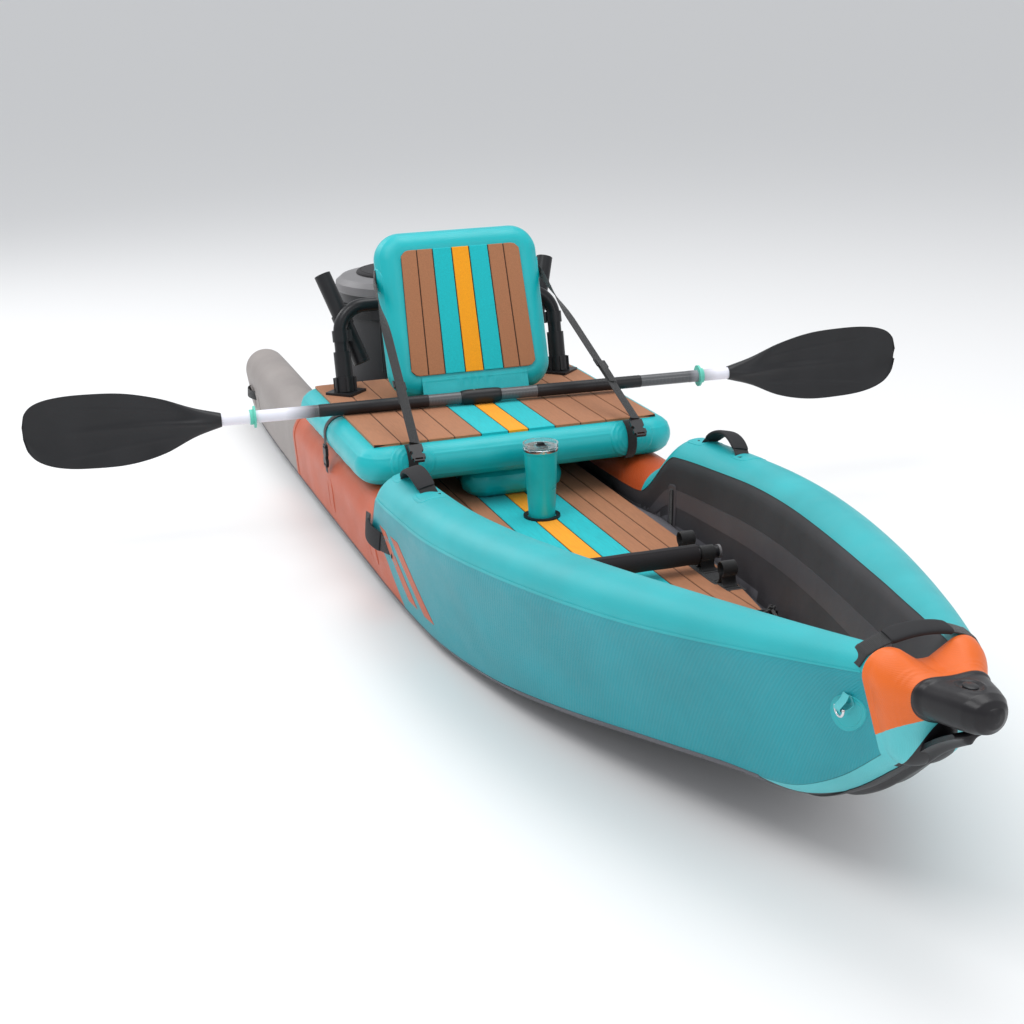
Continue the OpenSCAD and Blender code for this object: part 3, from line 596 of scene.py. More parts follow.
def hullPanels(side, tag):
    p = panels
    lift = p["lift"]
    foot = np.linspace(p["low"], 1.02, 5)[:-1]
    flank = np.concatenate([foot, np.linspace(1.02, p["seam"], 30)])
    over = np.linspace(p["seam"], p["inner"], 30)
    wide = np.concatenate([foot, np.linspace(1.02, 2, 12)[:-1], np.linspace(2, p["inner"], 30)])
    joint = np.linspace(p["low"], p["inner"], 50)
    chin, wing = np.linspace(0.69, 0.925, 20), np.linspace(0.4, 0.72, 20)
    sheets = [
        ("front_panel", cloths["teal"], flank, slant, p["bowEnd"], 190, lift * 1.6),
        ("gunwale_panel", cloths["tealTop"], over, p["shoulder"], p["bowEnd"], 190, lift * 1.6),
        ("middle_panel", cloths["orange"], wide, p["greyFore"], 0.19, 110, lift),
        ("stern_panel", cloths["grey"], wide, hull["stern"] + 0.062, p["greyFore"] - 0.0015, 80, lift),
    ]
    for k, (xa, sa, xb, sb, half) in enumerate(p["bars"]):
        s = np.linspace(sb, sa, 12)
        mid = xb + (xa - xb) * (s - sb) / (sa - sb)
        sheets.append((f"stripe_{k}", cloths["orange"], s, mid - half, mid + half, 24, lift * 2.3))
    seams = [
        (p["seam"], 0.014, cloths["tealTop"], p["shoulder"] + 0.03, 1.705, lift * 2.4),
        (p["low"], 0.018, cloths["under"], -1.84, 1.44, lift * 2.4),
        (3.32, 0.1, cloths["tape"], -0.9, 1.5, 0.0008),
    ]
    for k, (s, half, coat, aft, fore, height) in enumerate(seams):
        sheets.append((f"seam_{k}", coat, np.linspace(s - half, s + half, 7), aft, fore, 170, height))
    sheets += [
        ("chin_panel", cloths["weld"], chin, 1.44 + 0.2 * (0.93 - chin) / 0.3, p["bowEnd"], 60, lift * 1.6),
        ("guard_wing", capRubber, wing, 1.3 + 0.3 * (wing - 0.4) / 0.32, p["bowEnd"], 60, 0.0042),
        ("panel_joint", cloths["orange"], joint, p["greyFore"] - 0.012, p["greyFore"] + 0.012, 8, lift * 1.9),
    ]
    for name, coat, rows, aft, fore, count, height in sheets:
        wallPatch(f"{name}_{tag}", side, coat, rows, aft, fore, count, height)


def weldPatch(name, side, material, x, s, halfLong, halfWide, power=2.0, rings=2, lift=0.0021):
    # a patch on the wall, from its middle outwards: a squarish ellipse with low weld ridges, feathered down
    radius = np.linspace(0, 1, 34)[:, None]
    a = np.linspace(0, 2 * pi, 73)[None]
    gx = halfLong * squarish(np.cos(a), 2 / power) * radius
    gs = halfWide * squarish(np.sin(a), 2 / power) * radius
    step = np.linalg.norm(wall(x, s + 0.02, 0, 1) - wall(x, s - 0.02, 0, 1)) / 0.04
    ridge = sum(bell(radius - 0.93 + 0.17 * k, 0.018) for k in range(rings)) * 0.0007
    height = lift + ridge - (lift - 0.0008) * np.clip((radius - 0.985) / 0.015, 0, 1) + 0 * a
    spots = s + gs / step
    face, rear = wall(x + gx, spots, height, side), wall(x + gx, spots, -0.001, side)
    return piece(name, [face, rear[:, ::-1]], material)


print("walls")
for side, tag in sides:
    sideWall(side, "side_chamber_" + tag)
for side, tag in sides:
    hullPanels(side, tag)

# ---- floor chamber and its ribbed pad ----


def floorChamber():
    # drop-stitch floor: flat top that climbs with the bow, rounded edges, and a bottom that follows the keel
    aft = hull["floorAft"] + 0.05 * (1 - np.linspace(0.1, 1, 8)) ** 2
    x = np.concatenate([np.linspace(1.38, -1.45, 150), aft])
    half, top, low = floorHalf(x) + 0.002, hull["floorTop"] + floorRise(x), np.maximum(follow("keel", x), 0)
    a = np.linspace(0, 2 * pi, 81)
    squeeze = np.maximum(np.sqrt(1 - np.clip((hull["floorAft"] + 0.04 - x) / 0.04, 0, 1) ** 2), 0.3)[:, None]
    y = half[:, None] * squarish(np.cos(a), 0.16)
    z = ((top + low) / 2)[:, None] + ((top - low) / 2)[:, None] * squarish(np.sin(a), 0.3) * squeeze
    skin = np.stack([np.broadcast_to(x[:, None], y.shape), y, z], -1)
    obj = piece("floor_skin", [capped(skin)], cloths["under"])
    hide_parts("floor_chamber")


deck = {"thick": 0.007, "groove": 0.003, "edge": 0.0012}


def planks(edges, ends, place, thick, step=30):
    # planks of foam side by side: each is a slab with chamfered edges between two y values, its ends given by
    # ends(y). place puts (x, y, height) where the pad lies. Each plank gives its grid and its colour's number
    grids = []
    for y0, y1, mat in edges:
        c, g = deck["edge"], deck["groove"] / 2
        ys = np.concatenate([[y0 + g], np.linspace(y0 + g + c, y1 - g - c, 5), [y1 - g]])
        hs = np.concatenate([[thick - c], np.full(5, thick), [thick - c]])
        ringY, ringH = np.concatenate([ys, ys[::-1], ys[:1]]), np.concatenate([hs, np.zeros(7), hs[:1]])
        aft, fore = ends(ringY)
        u = np.concatenate([[0, c / 0.3], np.linspace(0.02, 0.98, step), [1 - c / 0.3, 1]])[:, None]
        x = aft + (fore - aft) * u
        y = np.broadcast_to(ringY, x.shape)
        h = np.broadcast_to(ringH, x.shape).copy()
        h[[0, -1]] = np.minimum(h[[0, -1]], thick - c)
        grids.append((capped(place(x, y, h)), mat))
    return grids


def plankEdges(halfWidth, brownStep, orange=0.027, teal=0.099):
    # y ranges from the middle out: orange, teal, then brown planks, on both sides
    marks = [orange, teal]
    while marks[-1] + brownStep < halfWidth - 0.012:
        marks.append(marks[-1] + brownStep)
    if halfWidth - marks[-1] > 0.004:
        marks.append(halfWidth)
    edges = [(-orange, orange, 2)]
    for k in range(len(marks) - 1):
        mat = 1 if k == 0 else 0
        edges += [(marks[k], marks[k + 1], mat), (-marks[k + 1], -marks[k], mat)]
    return edges


foamSet = [foams["brown"], foams["teal"], foams["orange"], foams["groove"]]


def floorPad():
    inset, aft, fore = 0.022, -0.8, 1.12
    xs = np.linspace(0.3, fore, 200)
    halves = floorHalf(xs) - inset

    def ends(y):
        # forward end: where the narrowing floor meets this y
        reach = np.interp(-abs(y), -halves, xs)
        return np.full(y.shape, aft), np.minimum(reach, fore)

    def place(x, y, h):
        return np.stack([x, y, hull["floorTop"] + floorRise(x) + h], -1)

    widest = float(floorHalf(np.array(-0.3)) - inset)
    edges = plankEdges(widest, 0.048)
    x = np.linspace(aft, fore, 120)
    half = np.minimum(floorHalf(x) - inset, widest) - 0.001
    v = np.linspace(-1, 1, 9)
    y = half[:, None] * v
    sheet = [place(x[:, None] + 0 * v, y, h + 0 * y) for h in (deck["thick"] - 0.0022, 0.0)]
    grids = planks(edges, ends, place, deck["thick"], 60) + [(g, 3) for g in slab(*sheet)]
    obj = piece("deck_pad", grids, foamSet, sharp=25)
    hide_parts("floor_pad")


floorChamber()
floorPad()
print("floor")

# ---- nose: orange collar, black cap, keel guard ----
nose = {
    # x, half width, top, bottom, depth of the dip on top
    "stations": [[1.72, 0.092, 0.470, 0.280, 0.026], [1.756, 0.076, 0.463, 0.332, 0.016],
                 [1.79, 0.062, 0.458, 0.383, 0.009], [1.82, 0.054, 0.458, 0.386, 0.006],
                 [1.85, 0.045, 0.459, 0.390, 0.003], [1.874, 0.037, 0.457, 0.395, 0],
                 [1.892, 0.027, 0.452, 0.402, 0], [1.902, 0.015, 0.445, 0.414, 0],
                 [1.905, 0.005, 0.437, 0.425, 0]],
    "lipHeight": 0.003, "plugAt": 1.838,
}


def noseRing(x, a, grow=0.0):
    # section of the nose: an egg, fuller below, with a dip on top between the two walls
    table = np.array(nose["stations"])
    w, top, low, dip = (np.interp(x, table[:, 0], table[:, k]) for k in (1, 2, 3, 4))
    w, top, low = w + grow, top + grow, low - grow
    mid = top - (top - low) * 0.42
    c, s = np.cos(a), np.sin(a)
    above = mid + (top - mid) * abs(c) ** 0.8 - dip * (1 - s * s) ** 3
    z = np.where(c > 0, above, mid - (mid - low) * abs(c) ** 0.9)
    return np.stack(np.broadcast_arrays(x, w * s, z), -1)


def evenly(points, count):
    # a line resampled at even steps of its own length
    run = np.concatenate([[0], np.cumsum(np.linalg.norm(np.diff(points, axis=0), axis=1))])
    even = np.linspace(0, run[-1], count)
    return np.stack([np.interp(even, run, column) for column in points.T], -1)


def collar():
    # from the outline of both walls together, over their saddle, to the egg under the cap
    rows = []
    xs = np.linspace(1.709, 1.797, 44)
    for x in xs:
        outline = wall(min(x, 1.72), np.linspace(2.8, 0.5, 90), 0.0036, 1)[:, 1:]
        outline = np.vstack([[[0, 0.448], [0.01, 0.4485]], outline, [[0, outline[-1, 1]]]])
        egg = evenly(noseRing(max(x, 1.72), np.linspace(0, pi, 200), 0.002)[:, 1:], 400)
        m = ease((x - 1.716) / 0.07)
        ridge = 1 + 0.012 * (bell(x - 1.770, 0.0014) + bell(x - 1.763, 0.0012))
        half = evenly(outline, 400) * (1 - m) + egg * m
        half = (half - [0, 0.4]) * ridge + [0, 0.4]
        split = int(np.argmax((half[:, 1] < 0.335 + 0.057 * (x - 1.709) / 0.088) & (half[:, 0] > 0.004)))
        half = np.vstack([evenly(half[:split + 1], 64), evenly(half[split:], 24)[1:]])
        rows.append(np.concatenate([half, (half * [-1, 1])[::-1][1:]]))
    rows = np.array(rows)
    skin = np.concatenate([(xs[:, None] + 0 * rows[..., 0])[..., None], rows], -1)
    inner = skin.copy()
    inner[..., 1:] = (inner[..., 1:] - [0, 0.4]) * 0.93 + [0, 0.4]
    cuts = [(0, 63, 0), (63, 77, 1), (77, 95, 2), (95, 109, 1), (109, rows.shape[1] - 1, 0)]
    grids = [(skin[:, a:b + 1], mat) for a, b, mat in cuts]
    grids += [inner[:, ::-1], np.stack([inner[0], skin[0]]), np.stack([skin[-1], inner[-1]])]
    coats = [cloths["collar"], cloths["weld"], capRubber]
    obj = piece("collar", grids, coats, sharp=60)
    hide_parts("nose_collar")


def noseCap():
    a = np.linspace(0, 2 * pi, 97)[None]
    point = 1.905 - 0.031 * (1 - np.linspace(0.04, 1, 22)) ** 2
    x = np.concatenate([np.linspace(1.786, 1.80, 8), np.linspace(1.803, 1.874, 26), point])[:, None]
    lip = nose["lipHeight"] * np.clip(1 - abs(x - 1.793) / 0.0075, 0, 1) ** 0.5
    skin = noseRing(x, a, 0.0012 + lip)
    top = np.minimum(a, 2 * pi - a)
    across, ahead = top * 0.055, x - nose["plugAt"]
    oval = np.hypot(across / 0.02, ahead / 0.026)
    skin[..., 2] -= 0.003 * np.clip((1 - oval) * 5, 0, 1) * (top < 1.2)
    skin[..., 2] += 0.0012 * bell(oval - 1.08, 0.1) * (top < 1.2)
    tip = np.array([1.9052, 0, 0.431])
    pole = np.broadcast_to(tip, skin[-1].shape)[None]
    start = np.broadcast_to(skin[0].mean(0), skin[0].shape)[None]
    obj = piece("cap", [np.concatenate([start, skin, pole])], capRubber, sharp=50)
    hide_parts("nose_cap")
    dome = [[0, 0.0018], [0.009, 0.0016], [0.0105, 0.0006], [0.0108, -0.003], [0, -0.003]]
    plug = revolve(dome, 40) * [1.3, 1, 1]
    piece("cap_plug", [plug + [nose["plugAt"], 0, 0.4548]], blackPlastic)
    lipRing = [[0.0022, -0.001], [0.0022, 0.0006], [0.0032, 0.0012], [0.0042, 0.0006], [0.0042, -0.001]]
    ring = revolve(closedRing(lipRing), 32)
    piece("vent_ring", [turned(ring, "Y", 80) + [1.9035, 0, 0.434]], blackPlastic)


def keelGuard():
    # moulded strip with a raised middle rib, wider below, ending bluntly under the cap
    x = np.concatenate([[1.25], np.linspace(1.252, 1.842, 90), [1.846]])
    k = np.maximum(follow("keel", x), 0)
    half = 0.027 + 0.022 * ease((1.78 - x) / 0.3) - 0.012 * ease((1.33 - x) / 0.08)
    side = np.linspace(-1, 1, 25)
    rib = -0.009 * bell(side, 0.34) - 0.0015
    lowLine = np.concatenate([rib, [0.006, 0.0075, 0.0075, 0.006]])
    across = np.concatenate([side, [1.0, 0.9, -0.9, -1.0]])
    squash = np.ones(len(x))
    squash[[0, -1]] = 0.4
    slope = np.gradient(k, x)
    ring = closedRing(np.stack([across, lowLine], -1))
    y = half[:, None] * ring[None, :, 0]
    drop = ring[None, :, 1] * squash[:, None]
    n = np.sqrt(1 + slope**2)[:, None]
    curve = 0.012 * (y / 0.05) ** 2
    skin = np.stack([x[:, None] - drop * slope[:, None] / n, y, k[:, None] + drop / n + curve], -1)
    obj = piece("keel_strip", [capped(skin)], capRubber, sharp=50)
    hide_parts("keel_guard")


collar()
noseCap()
keelGuard()
print("nose")

# ---- cushions: bench, bolster, backrest ----
bench = {"mid": (-0.535, 0, 0.284), "half": (0.39, 0.425, 0.048), "corner": 0.075, "top": 0.332}
back = {"hinge": (-0.536, 0, 0.341), "lean": -17.5,
        "half": (0.225, 0.23, 0.048), "corner": 0.074, "mid": 0.245,
        "padLow": 0.075, "padTop": 0.415, "padHalf": 0.178, "padTaper": 0.010, "padCorner": 0.024,
        "strapTop": (-0.690, 0.236, 0.655), "strapLow": (-0.122, 0.292, 0.353), "slider": 0.66}


def plan(halfX, halfY, corner, arc=26, edge=44):
    # outline of a rounded rectangle: the points its corners turn about, and the outward directions
    turns = [(1, 1), (-1, 1), (-1, -1), (1, -1), (1, 1)]
    centres, ways = [], []
    for k in range(4):
        here, there = (np.array([(halfX - corner) * q[0], (halfY - corner) * q[1]]) for q in turns[k:k + 2])
        a = k * pi / 2 + np.linspace(0, pi / 2, arc)
        way = np.stack([np.cos(a), np.sin(a)], -1)
        t = np.linspace(0, 1, edge)[1:-1, None]
        centres += [np.broadcast_to(here, way.shape), here + (there - here) * t]
        ways += [way, np.broadcast_to(way[-1], (edge - 2, 2))]
    centres, ways = np.concatenate(centres), np.concatenate(ways)
    return np.vstack([centres, centres[:1]]), np.vstack([ways, ways[:1]])


def cushion(half, corner, swell, seams, pucker, rows=57):
    # flat inflated cushion about its middle: flat faces, a half-round rim, raised weld bands round the rim at
    # the given angles, and short puckers running off each band
    centres, ways = plan(half[0], half[1], corner)
    inner, h = corner - half[2], half[2]
    k = np.linspace(0, 1, 24)[:, None, None]
    face = (centres + ways * inner)[None] * k
    rise = h + swell * (1 - k[..., 0] ** 4) + 0 * face[..., 0]
    b = np.linspace(pi / 2, -pi / 2, rows)[:, None]
    edge = centres + ways * corner
    run = np.cumsum(np.linalg.norm(np.diff(np.vstack([edge[:1], edge]), axis=0), axis=1))
    band = sum(bell(b - math.radians(q), 0.05, 4) for q in seams)
    near = sum(bell(b - math.radians(q), 0.28) for q in seams)
    crumple = pucker * np.sin(run * 96 + 4 * np.sin(run * 13)) * near
    r = h + 0.0009 * band + crumple
    rim = centres[None] + ways[None] * (inner + r[..., None] * np.cos(b)[..., None])
    skin = [np.concatenate([face, rise[..., None]], -1),
            np.concatenate([rim, (r * np.sin(b) + 0 * rim[..., 0])[..., None]], -1),
            np.concatenate([face[::-1], -rise[::-1][..., None]], -1)]
    return np.concatenate(skin)


def onRim(sideways, arc, lift, half):
    # a point over the front rim of a cushion: arc is how far down from the rim's outermost line it lies, and
    # lift how far above the skin
    h = half[2]
    b = arc / h
    over = np.maximum(np.abs(b) - pi / 2, 0) * h
    b = np.clip(b, -pi / 2, pi / 2)
    out = half[0] - h + (h + lift) * np.cos(b) - over
    return np.stack(np.broadcast_arrays(out, sideways, -(h + lift) * np.sin(b)), -1)


def disc(radius, rings=2, lift=0.0016, rows=30):
    # round welded patch as (across, along, height): low concentric ridges and a feathered edge
    r = np.linspace(0, 1, rows)[:, None]
    a = np.linspace(0, 2 * pi, 65)[None]
    height = lift + 0.0007 * sum(bell(r - 0.9 + 0.2 * k, 0.035) for k in range(rings))
    height = height - (lift - 0.0003) * np.clip((r - 0.96) / 0.04, 0, 1) + 0 * a
    return radius * r * np.cos(a), radius * r * np.sin(a), height


def leaned(points):
    return turned(points, "Y", back["lean"]) + np.array(back["hinge"])


def benchPieces():
    half, mid = bench["half"], np.array(bench["mid"])
    skin = cushion(half, bench["corner"], 0.0, (34, -34), 0.0005)
    obj = piece("bench_skin", [skin + mid], cloths["seatTeal"])
    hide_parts("bench_platform")

    def place(x, y, h):
        return np.stack([x, y, bench["top"] + h], -1)

    def ends(y):
        inset = 0.012 - np.sqrt(np.maximum(0.012**2 - np.maximum(abs(y) - 0.367, 0) ** 2, 0))
        return -0.879 + inset, -0.191 - inset

    grids = planks(plankEdges(0.379, 0.07), ends, place, deck["thick"], 40)
    x, y = np.meshgrid(np.linspace(-0.877, -0.193, 24), np.linspace(-0.377, 0.377, 24), indexing="ij")
    sheet = [place(x, y, h + 0 * x) for h in (deck["thick"] - 0.0022, 0.0)]
    pad = piece("bench_foam", grids + [(g, 3) for g in slab(*sheet)], foamSet, sharp=25)
    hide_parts("bench_pad")
    for side, tag in sides:
        u, v, lift = disc(0.058, 3)
        front = onRim(side * 0.292 + u, v - 0.012, lift, half) + mid
        under = onRim(side * 0.292 + u, v - 0.012, 0 * lift - 0.001, half) + mid
        piece("front_patch_" + tag, [front, under[:, ::-1]], cloths["seatTeal"])


def bolster():
    half = (0.061, 0.135, 0.039)
    skin = cushion(half, 0.061, 0.004, (30, -30), 0.0012)
    skin[..., 2] = np.clip(skin[..., 2], -0.0388, 0.0388)
    obj = piece("bolster", [skin + [-0.262, 0, 0.1965]], cloths["seatTeal"])
    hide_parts("bench_bolster")


def backrestPieces():
    half = back["half"]
    q = cushion(half, back["corner"], 0.0, (38, -38), 0.0005)
    skin = np.stack([q[..., 2] - half[2], q[..., 1], q[..., 0] + back["mid"]], -1)
    obj = piece("backrest_cushion", [leaned(skin)], cloths["seatTeal"], body="backrest")
    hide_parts("backrest_panel")

    def place(z, y, h):
        rise = (z - back["padLow"]) / (back["padTop"] - back["padLow"])
        taper = 1 - back["padTaper"] / back["padHalf"] * rise
        return leaned(np.stack([0.0002 + h, y * taper, z], -1))

    def ends(y):
        r = back["padCorner"]
        inset = r - np.sqrt(np.maximum(r * r - np.maximum(abs(y) - back["padHalf"] + r, 0) ** 2, 0))
        return back["padLow"] + inset, back["padTop"] - inset

    edges = plankEdges(back["padHalf"], 0.047, 0.026, 0.083)
    grids = planks(edges, ends, place, 0.006, 24)
    z = np.linspace(back["padLow"] + 0.001, back["padTop"] - 0.001, 50)
    r = back["padCorner"]
    near = np.minimum(np.minimum(z - back["padLow"], back["padTop"] - z), r)
    reach = back["padHalf"] - r + np.sqrt(np.maximum(r * r - (r - near) ** 2, 0)) - 0.001
    halfY = reach[:, None] * np.linspace(-1, 1, 20)
    sheet = [place(z[:, None] + 0 * halfY, halfY, h + 0 * halfY) for h in (0.0038, 0.0)]
    grids += [(g, 3) for g in slab(*sheet)]
    pad = piece("backrest_foam", grids, foamSet, body="backrest", sharp=25)
    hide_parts("backrest_pad")
    u, v = np.meshgrid(np.linspace(-0.15, 0.15, 90), np.linspace(0, 0.07, 28), indexing="ij")
    crease = 0.0011 * np.sin(u * 150 + 5 * np.sin(u * 31)) * bell(v - 0.052, 0.012)
    weld = 0.0009 * (bell(v - 0.06, 0.0016) + bell(abs(u) - 0.141, 0.002))
    face = leaned(np.stack([0.0022 + crease + weld, u, v], -1))
    inner = leaned(np.stack([0 * u + 0.0002, u, v], -1))
    cloth = cloths["seatTeal"]
    flap = piece("hinge_flap", slab(face, inner), cloth, body="backrest", sharp=60)
    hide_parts("backrest_flap")


def ribbon(points, side, width, thick, count):
    # strap along a curve through a few points
    return sweep(along(points, count), roundBar(width, thick, 5, 20), side)


def sideStrap(side, tag):
    # from the bench's front rim up to the backrest's flank, its flat turning to lie against the flank
    a, b = (np.array(back[end]) * [1, side, 1] for end in ("strapLow", "strapTop"))
    way = unit(b - a)
    lateral = np.array([0, side, 0])
    upright = unit(np.cross(way, lateral))
    slant = lateral * 0.96 + upright * 0.28
    t = np.linspace(0, 1, 60)[:, None]
    turn = ease((t - 0.62) / 0.36)
    flat = unit(slant * (1 - turn) + upright * turn)
    strap = sweep(a + (b - a) * t, roundBar(0.027, 0.0018, 5, 20), flat)
    obj = piece("side_strap_" + tag, [strap], strapBlack, body=None)
    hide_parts("backrest_straps")
    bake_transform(obj)
    axes = np.stack([way, unit(slant), -unit(np.cross(way, slant))])
    mid = a + (b - a) * (1 - back["slider"])
    grids = []
    for off in (-0.011, 0, 0.011):
        run = np.linspace([off, -0.0165, 0.003], [off, 0.0165, 0.003], 6)
        grids.append(sweep(run, roundBar(0.0045, 0.0035, 4, 16), (1, 0, 0)) @ axes + mid)
    for off in (-0.0155, 0.0155):
        run = np.linspace([-0.0132, off, 0.003], [0.0132, off, 0.003], 6)
        grids.append(sweep(run, roundBar(0.0045, 0.0045, 4, 16), (0, 1, 0)) @ axes + mid)
    loose = [[0.012, 0, 0.0045], [-0.03, 0, 0.006], [-0.075, 0.002, 0.0035]]
    grids.append((ribbon(loose, (0, 1, 0), 0.024, 0.0017, 24) @ axes + mid, 1))
    obj = piece("slider_" + tag, grids, [blackPlastic, strapBlack], body=None)
    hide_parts("strap_sliders")
    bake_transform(obj)


def flankPatch(side, tag):
    # round patch welded over the backrest's rim, with the tab that holds the strap
    u, v, lift = disc(0.034, 2)
    h = back["half"][2]
    layers = []
    for extra in (lift, -0.001 + 0 * lift):
        out = back["half"][1] - h + (h + extra) * np.cos(u / h)
        layers.append(leaned(np.stack([-h + (h + extra) * np.sin(u / h), side * out, 0.346 + v], -1)))
    grids = [layers[0], layers[1][:, ::-1]]
    piece("flank_patch_" + tag, grids, cloths["seatTeal"], body="backrest")
    points = [[-0.052, side * 0.231, 0.375], [-0.0515, side * 0.2335, 0.352], [-0.047, side * 0.2355, 0.336]]
    tab = leaned(ribbon(points, (1, 0, 0), 0.025, 0.003, 16))
    piece("flank_tab_" + tag, [tab], strapBlack, body="backrest")


def frontTail(side):
    # the strap's lower end, stitched over the bench's front rim
    arcs = np.linspace(-0.062, 0.058, 40)
    path = onRim(side * 0.292, arcs, 0.0042, bench["half"]) + np.array(bench["mid"])
    return sweep(path, roundBar(0.025, 0.0018, 5, 20), (0, 1, 0))


def backrestStraps():
    for side, tag in sides:
        sideStrap(side, tag)
        flankPatch(side, tag)
    piece("front_tails", [frontTail(side) for side, _ in sides], strapBlack)


def tieStraps():
    # from beside the bench's foam, over its rounded side, down through the buckle to the tab on the hull
    h, mid, edge = bench["half"][2], bench["mid"], bench["half"][1]
    b = np.linspace(pi / 2, 0, 20)
    r = h + 0.0016
    over = np.stack([0 * b - 0.545, edge - h + r * np.cos(b), mid[2] + r * np.sin(b)], -1)
    lead = [[-0.560, 0.352, 0.3338], [-0.552, 0.366, 0.3337]]
    drop = [[-0.545, 0.4266, 0.262], [-0.545, 0.4268, 0.235], [-0.545, 0.4268, 0.205], [-0.545, 0.4262, 0.18]]
    strap = ribbon(np.vstack([lead, over, drop]), (1, 0, 0), 0.025, 0.002, 90)
    obj = piece("tie_straps", [mirrored(strap, side) for side, _ in sides], strapBlack)
    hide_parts("bench_straps")
    for side, tag in sides:
        weldPatch("tie_patch_" + tag, side, cloths["orange"], -0.545, 1.6, 0.03, 0.045, 5, 2)


print("cushions")
benchPieces()
bolster()
backrestPieces()
backrestStraps()
tieStraps()

# ---- handles and webbing ----
handles = {  # size is length, rise, width and thickness; turn is roll and pitch in degrees; sleeve is a share
    "gunwale": {"at": (0.226, 0.379, 0.3493), "turn": (-12, -4.6),
                "size": (0.19, 0.042, 0.038, 0.005), "sleeve": 0.78},
    "side": {"at": (0.038, 0.431, 0.185), "turn": (-84, 0),
             "size": (0.205, 0.024, 0.042, 0.005), "sleeve": 0.62},
    "stern": {"at": (-1.76, 0.401, 0.125), "turn": (-86, 0),
              "size": (0.13, 0.025, 0.028, 0.004), "sleeve": 0.0},
    "bow": {"at": (1.69, 0, 0.4695), "turn": (0, 7),
            "size": (0.186, 0.024, 0.034, 0.005), "sleeve": 0.55},
}
gripPatches = [(0.115, 2.52, "tealTop"), (0.337, 2.52, "tealTop"), (-0.075, 1.62, "orange"),
               (0.151, 1.62, "teal"), (-1.795, 1.45, "grey"), (-1.69, 1.45, "grey")]


def archPath(length, rise, count=40, share=1.0):
    # arc of a circle standing on its chord, along x
    r = (length**2 / 4 + rise**2) / (2 * rise)
    a = math.asin(min(length / 2 / r, 1)) * share
    t = np.linspace(-a, a, count)
    return np.stack([r * np.sin(t), 0 * t, r * np.cos(t) - r + rise], -1)


def handle(name, spec, side):
    length, rise, width, thick = spec["size"]
    roll, pitch = spec["turn"]
    arch = archPath(length, rise) - [0, 0, thick / 2]
    foot, drop = (0.012, 0.02) if name == "bow" else (0.022, -0.0012)
    tips = [[[sign * (length / 2 + foot), 0, -drop]] for sign in (-1, 1)]
    path = along(np.vstack([tips[0], arch, tips[1]]), 80)
    grids = [(sweep(path, roundBar(width, 0.003, 5, 22), (0, 1, 0)), 0)]
    if spec["sleeve"]:
        middle = archPath(length, rise, 46, spec["sleeve"]) - [0, 0, thick / 2]
        t = np.linspace(-1, 1, 46)
        swell = 0.86 + 0.14 * np.sqrt(np.clip(1 - t**8, 0, 1))
        ridge = 1 + 0.035 * np.cos(t * 26) * (abs(t) > 0.82)
        size = np.stack([swell, swell * ridge], -1)
        grids.append((sweep(middle, roundBar(width + 0.005, thick + 0.0065, 3.2, 30), (0, 1, 0), size), 1))
    placed = []
    for grid, mat in grids:
        p = turned(turned(grid, "Z", 90) if name == "bow" else turned(grid, "X", roll), "Y", pitch)
        p = p + np.array(spec["at"])
        placed.append((mirrored(p, side), mat))
    return placed


def allHandles():
    for name, spec in handles.items():
        both = [handle(name, spec, 1)] if name == "bow" else [handle(name, spec, 1), handle(name, spec, -1)]
        obj = piece(name + "_grip", sum(both, []), [strapBlack, neoprene])
        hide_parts("bow_handle" if name == "bow" else name + "_handles")
    for side, tag in sides:
        for k, (x, s, material) in enumerate(gripPatches):
            weldPatch(f"grip_patch_{k}_{tag}", side, cloths[material], x, s, 0.042, 0.034, 4, 2, 0.0028)
        weldPatch("ring_patch_" + tag, side, cloths["tealTop"], 1.668, 1.56, 0.034, 0.034, 2, 2, 0.0030)
        weldPatch("slot_frame_" + tag, side, cloths["tape"], 0.096, 3.48, 0.022, 0.068, 6, 1, 0.0016)
        slotPiece = weldPatch("slot_" + tag, side, strapBlack, 0.096, 3.48, 0.008, 0.056, 8, 1, 0.0042)
        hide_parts("wall_slots")


def ringTabs():
    # strap from the patch on the wall, down round the ring's bar and back up to the wall
    x, bar = 1.676, 0.120
    flank = wall(x, np.linspace(1.0, 2.0, 200), 0.0, 1)
    high, mid, low, end = np.interp([0.404, 0.388, 0.372, 0.392], flank[:, 2], flank[:, 1])
    points = [[x, high + 0.002, 0.394], [x, (mid + bar) / 2 + 0.003, 0.384], [x, bar + 0.0034, 0.374],
              [x, bar + 0.0022, 0.3685], [x, bar - 0.0026, 0.3688], [x, min(low + 0.004, bar - 0.002), 0.376],
              [x, end + 0.0015, 0.392]]
    strap = sweep(along(points, 50), roundBar(0.018, 0.0016, 5, 18), (1, 0, 0))
    piece("ring_tabs", [mirrored(strap, side) for side, _ in sides], cloths["weld"])


ladder = {"y": 0.209, "loops": (0.38, 0.49, 0.60), "tubeZ": 0.197, "loopR": 0.0163}


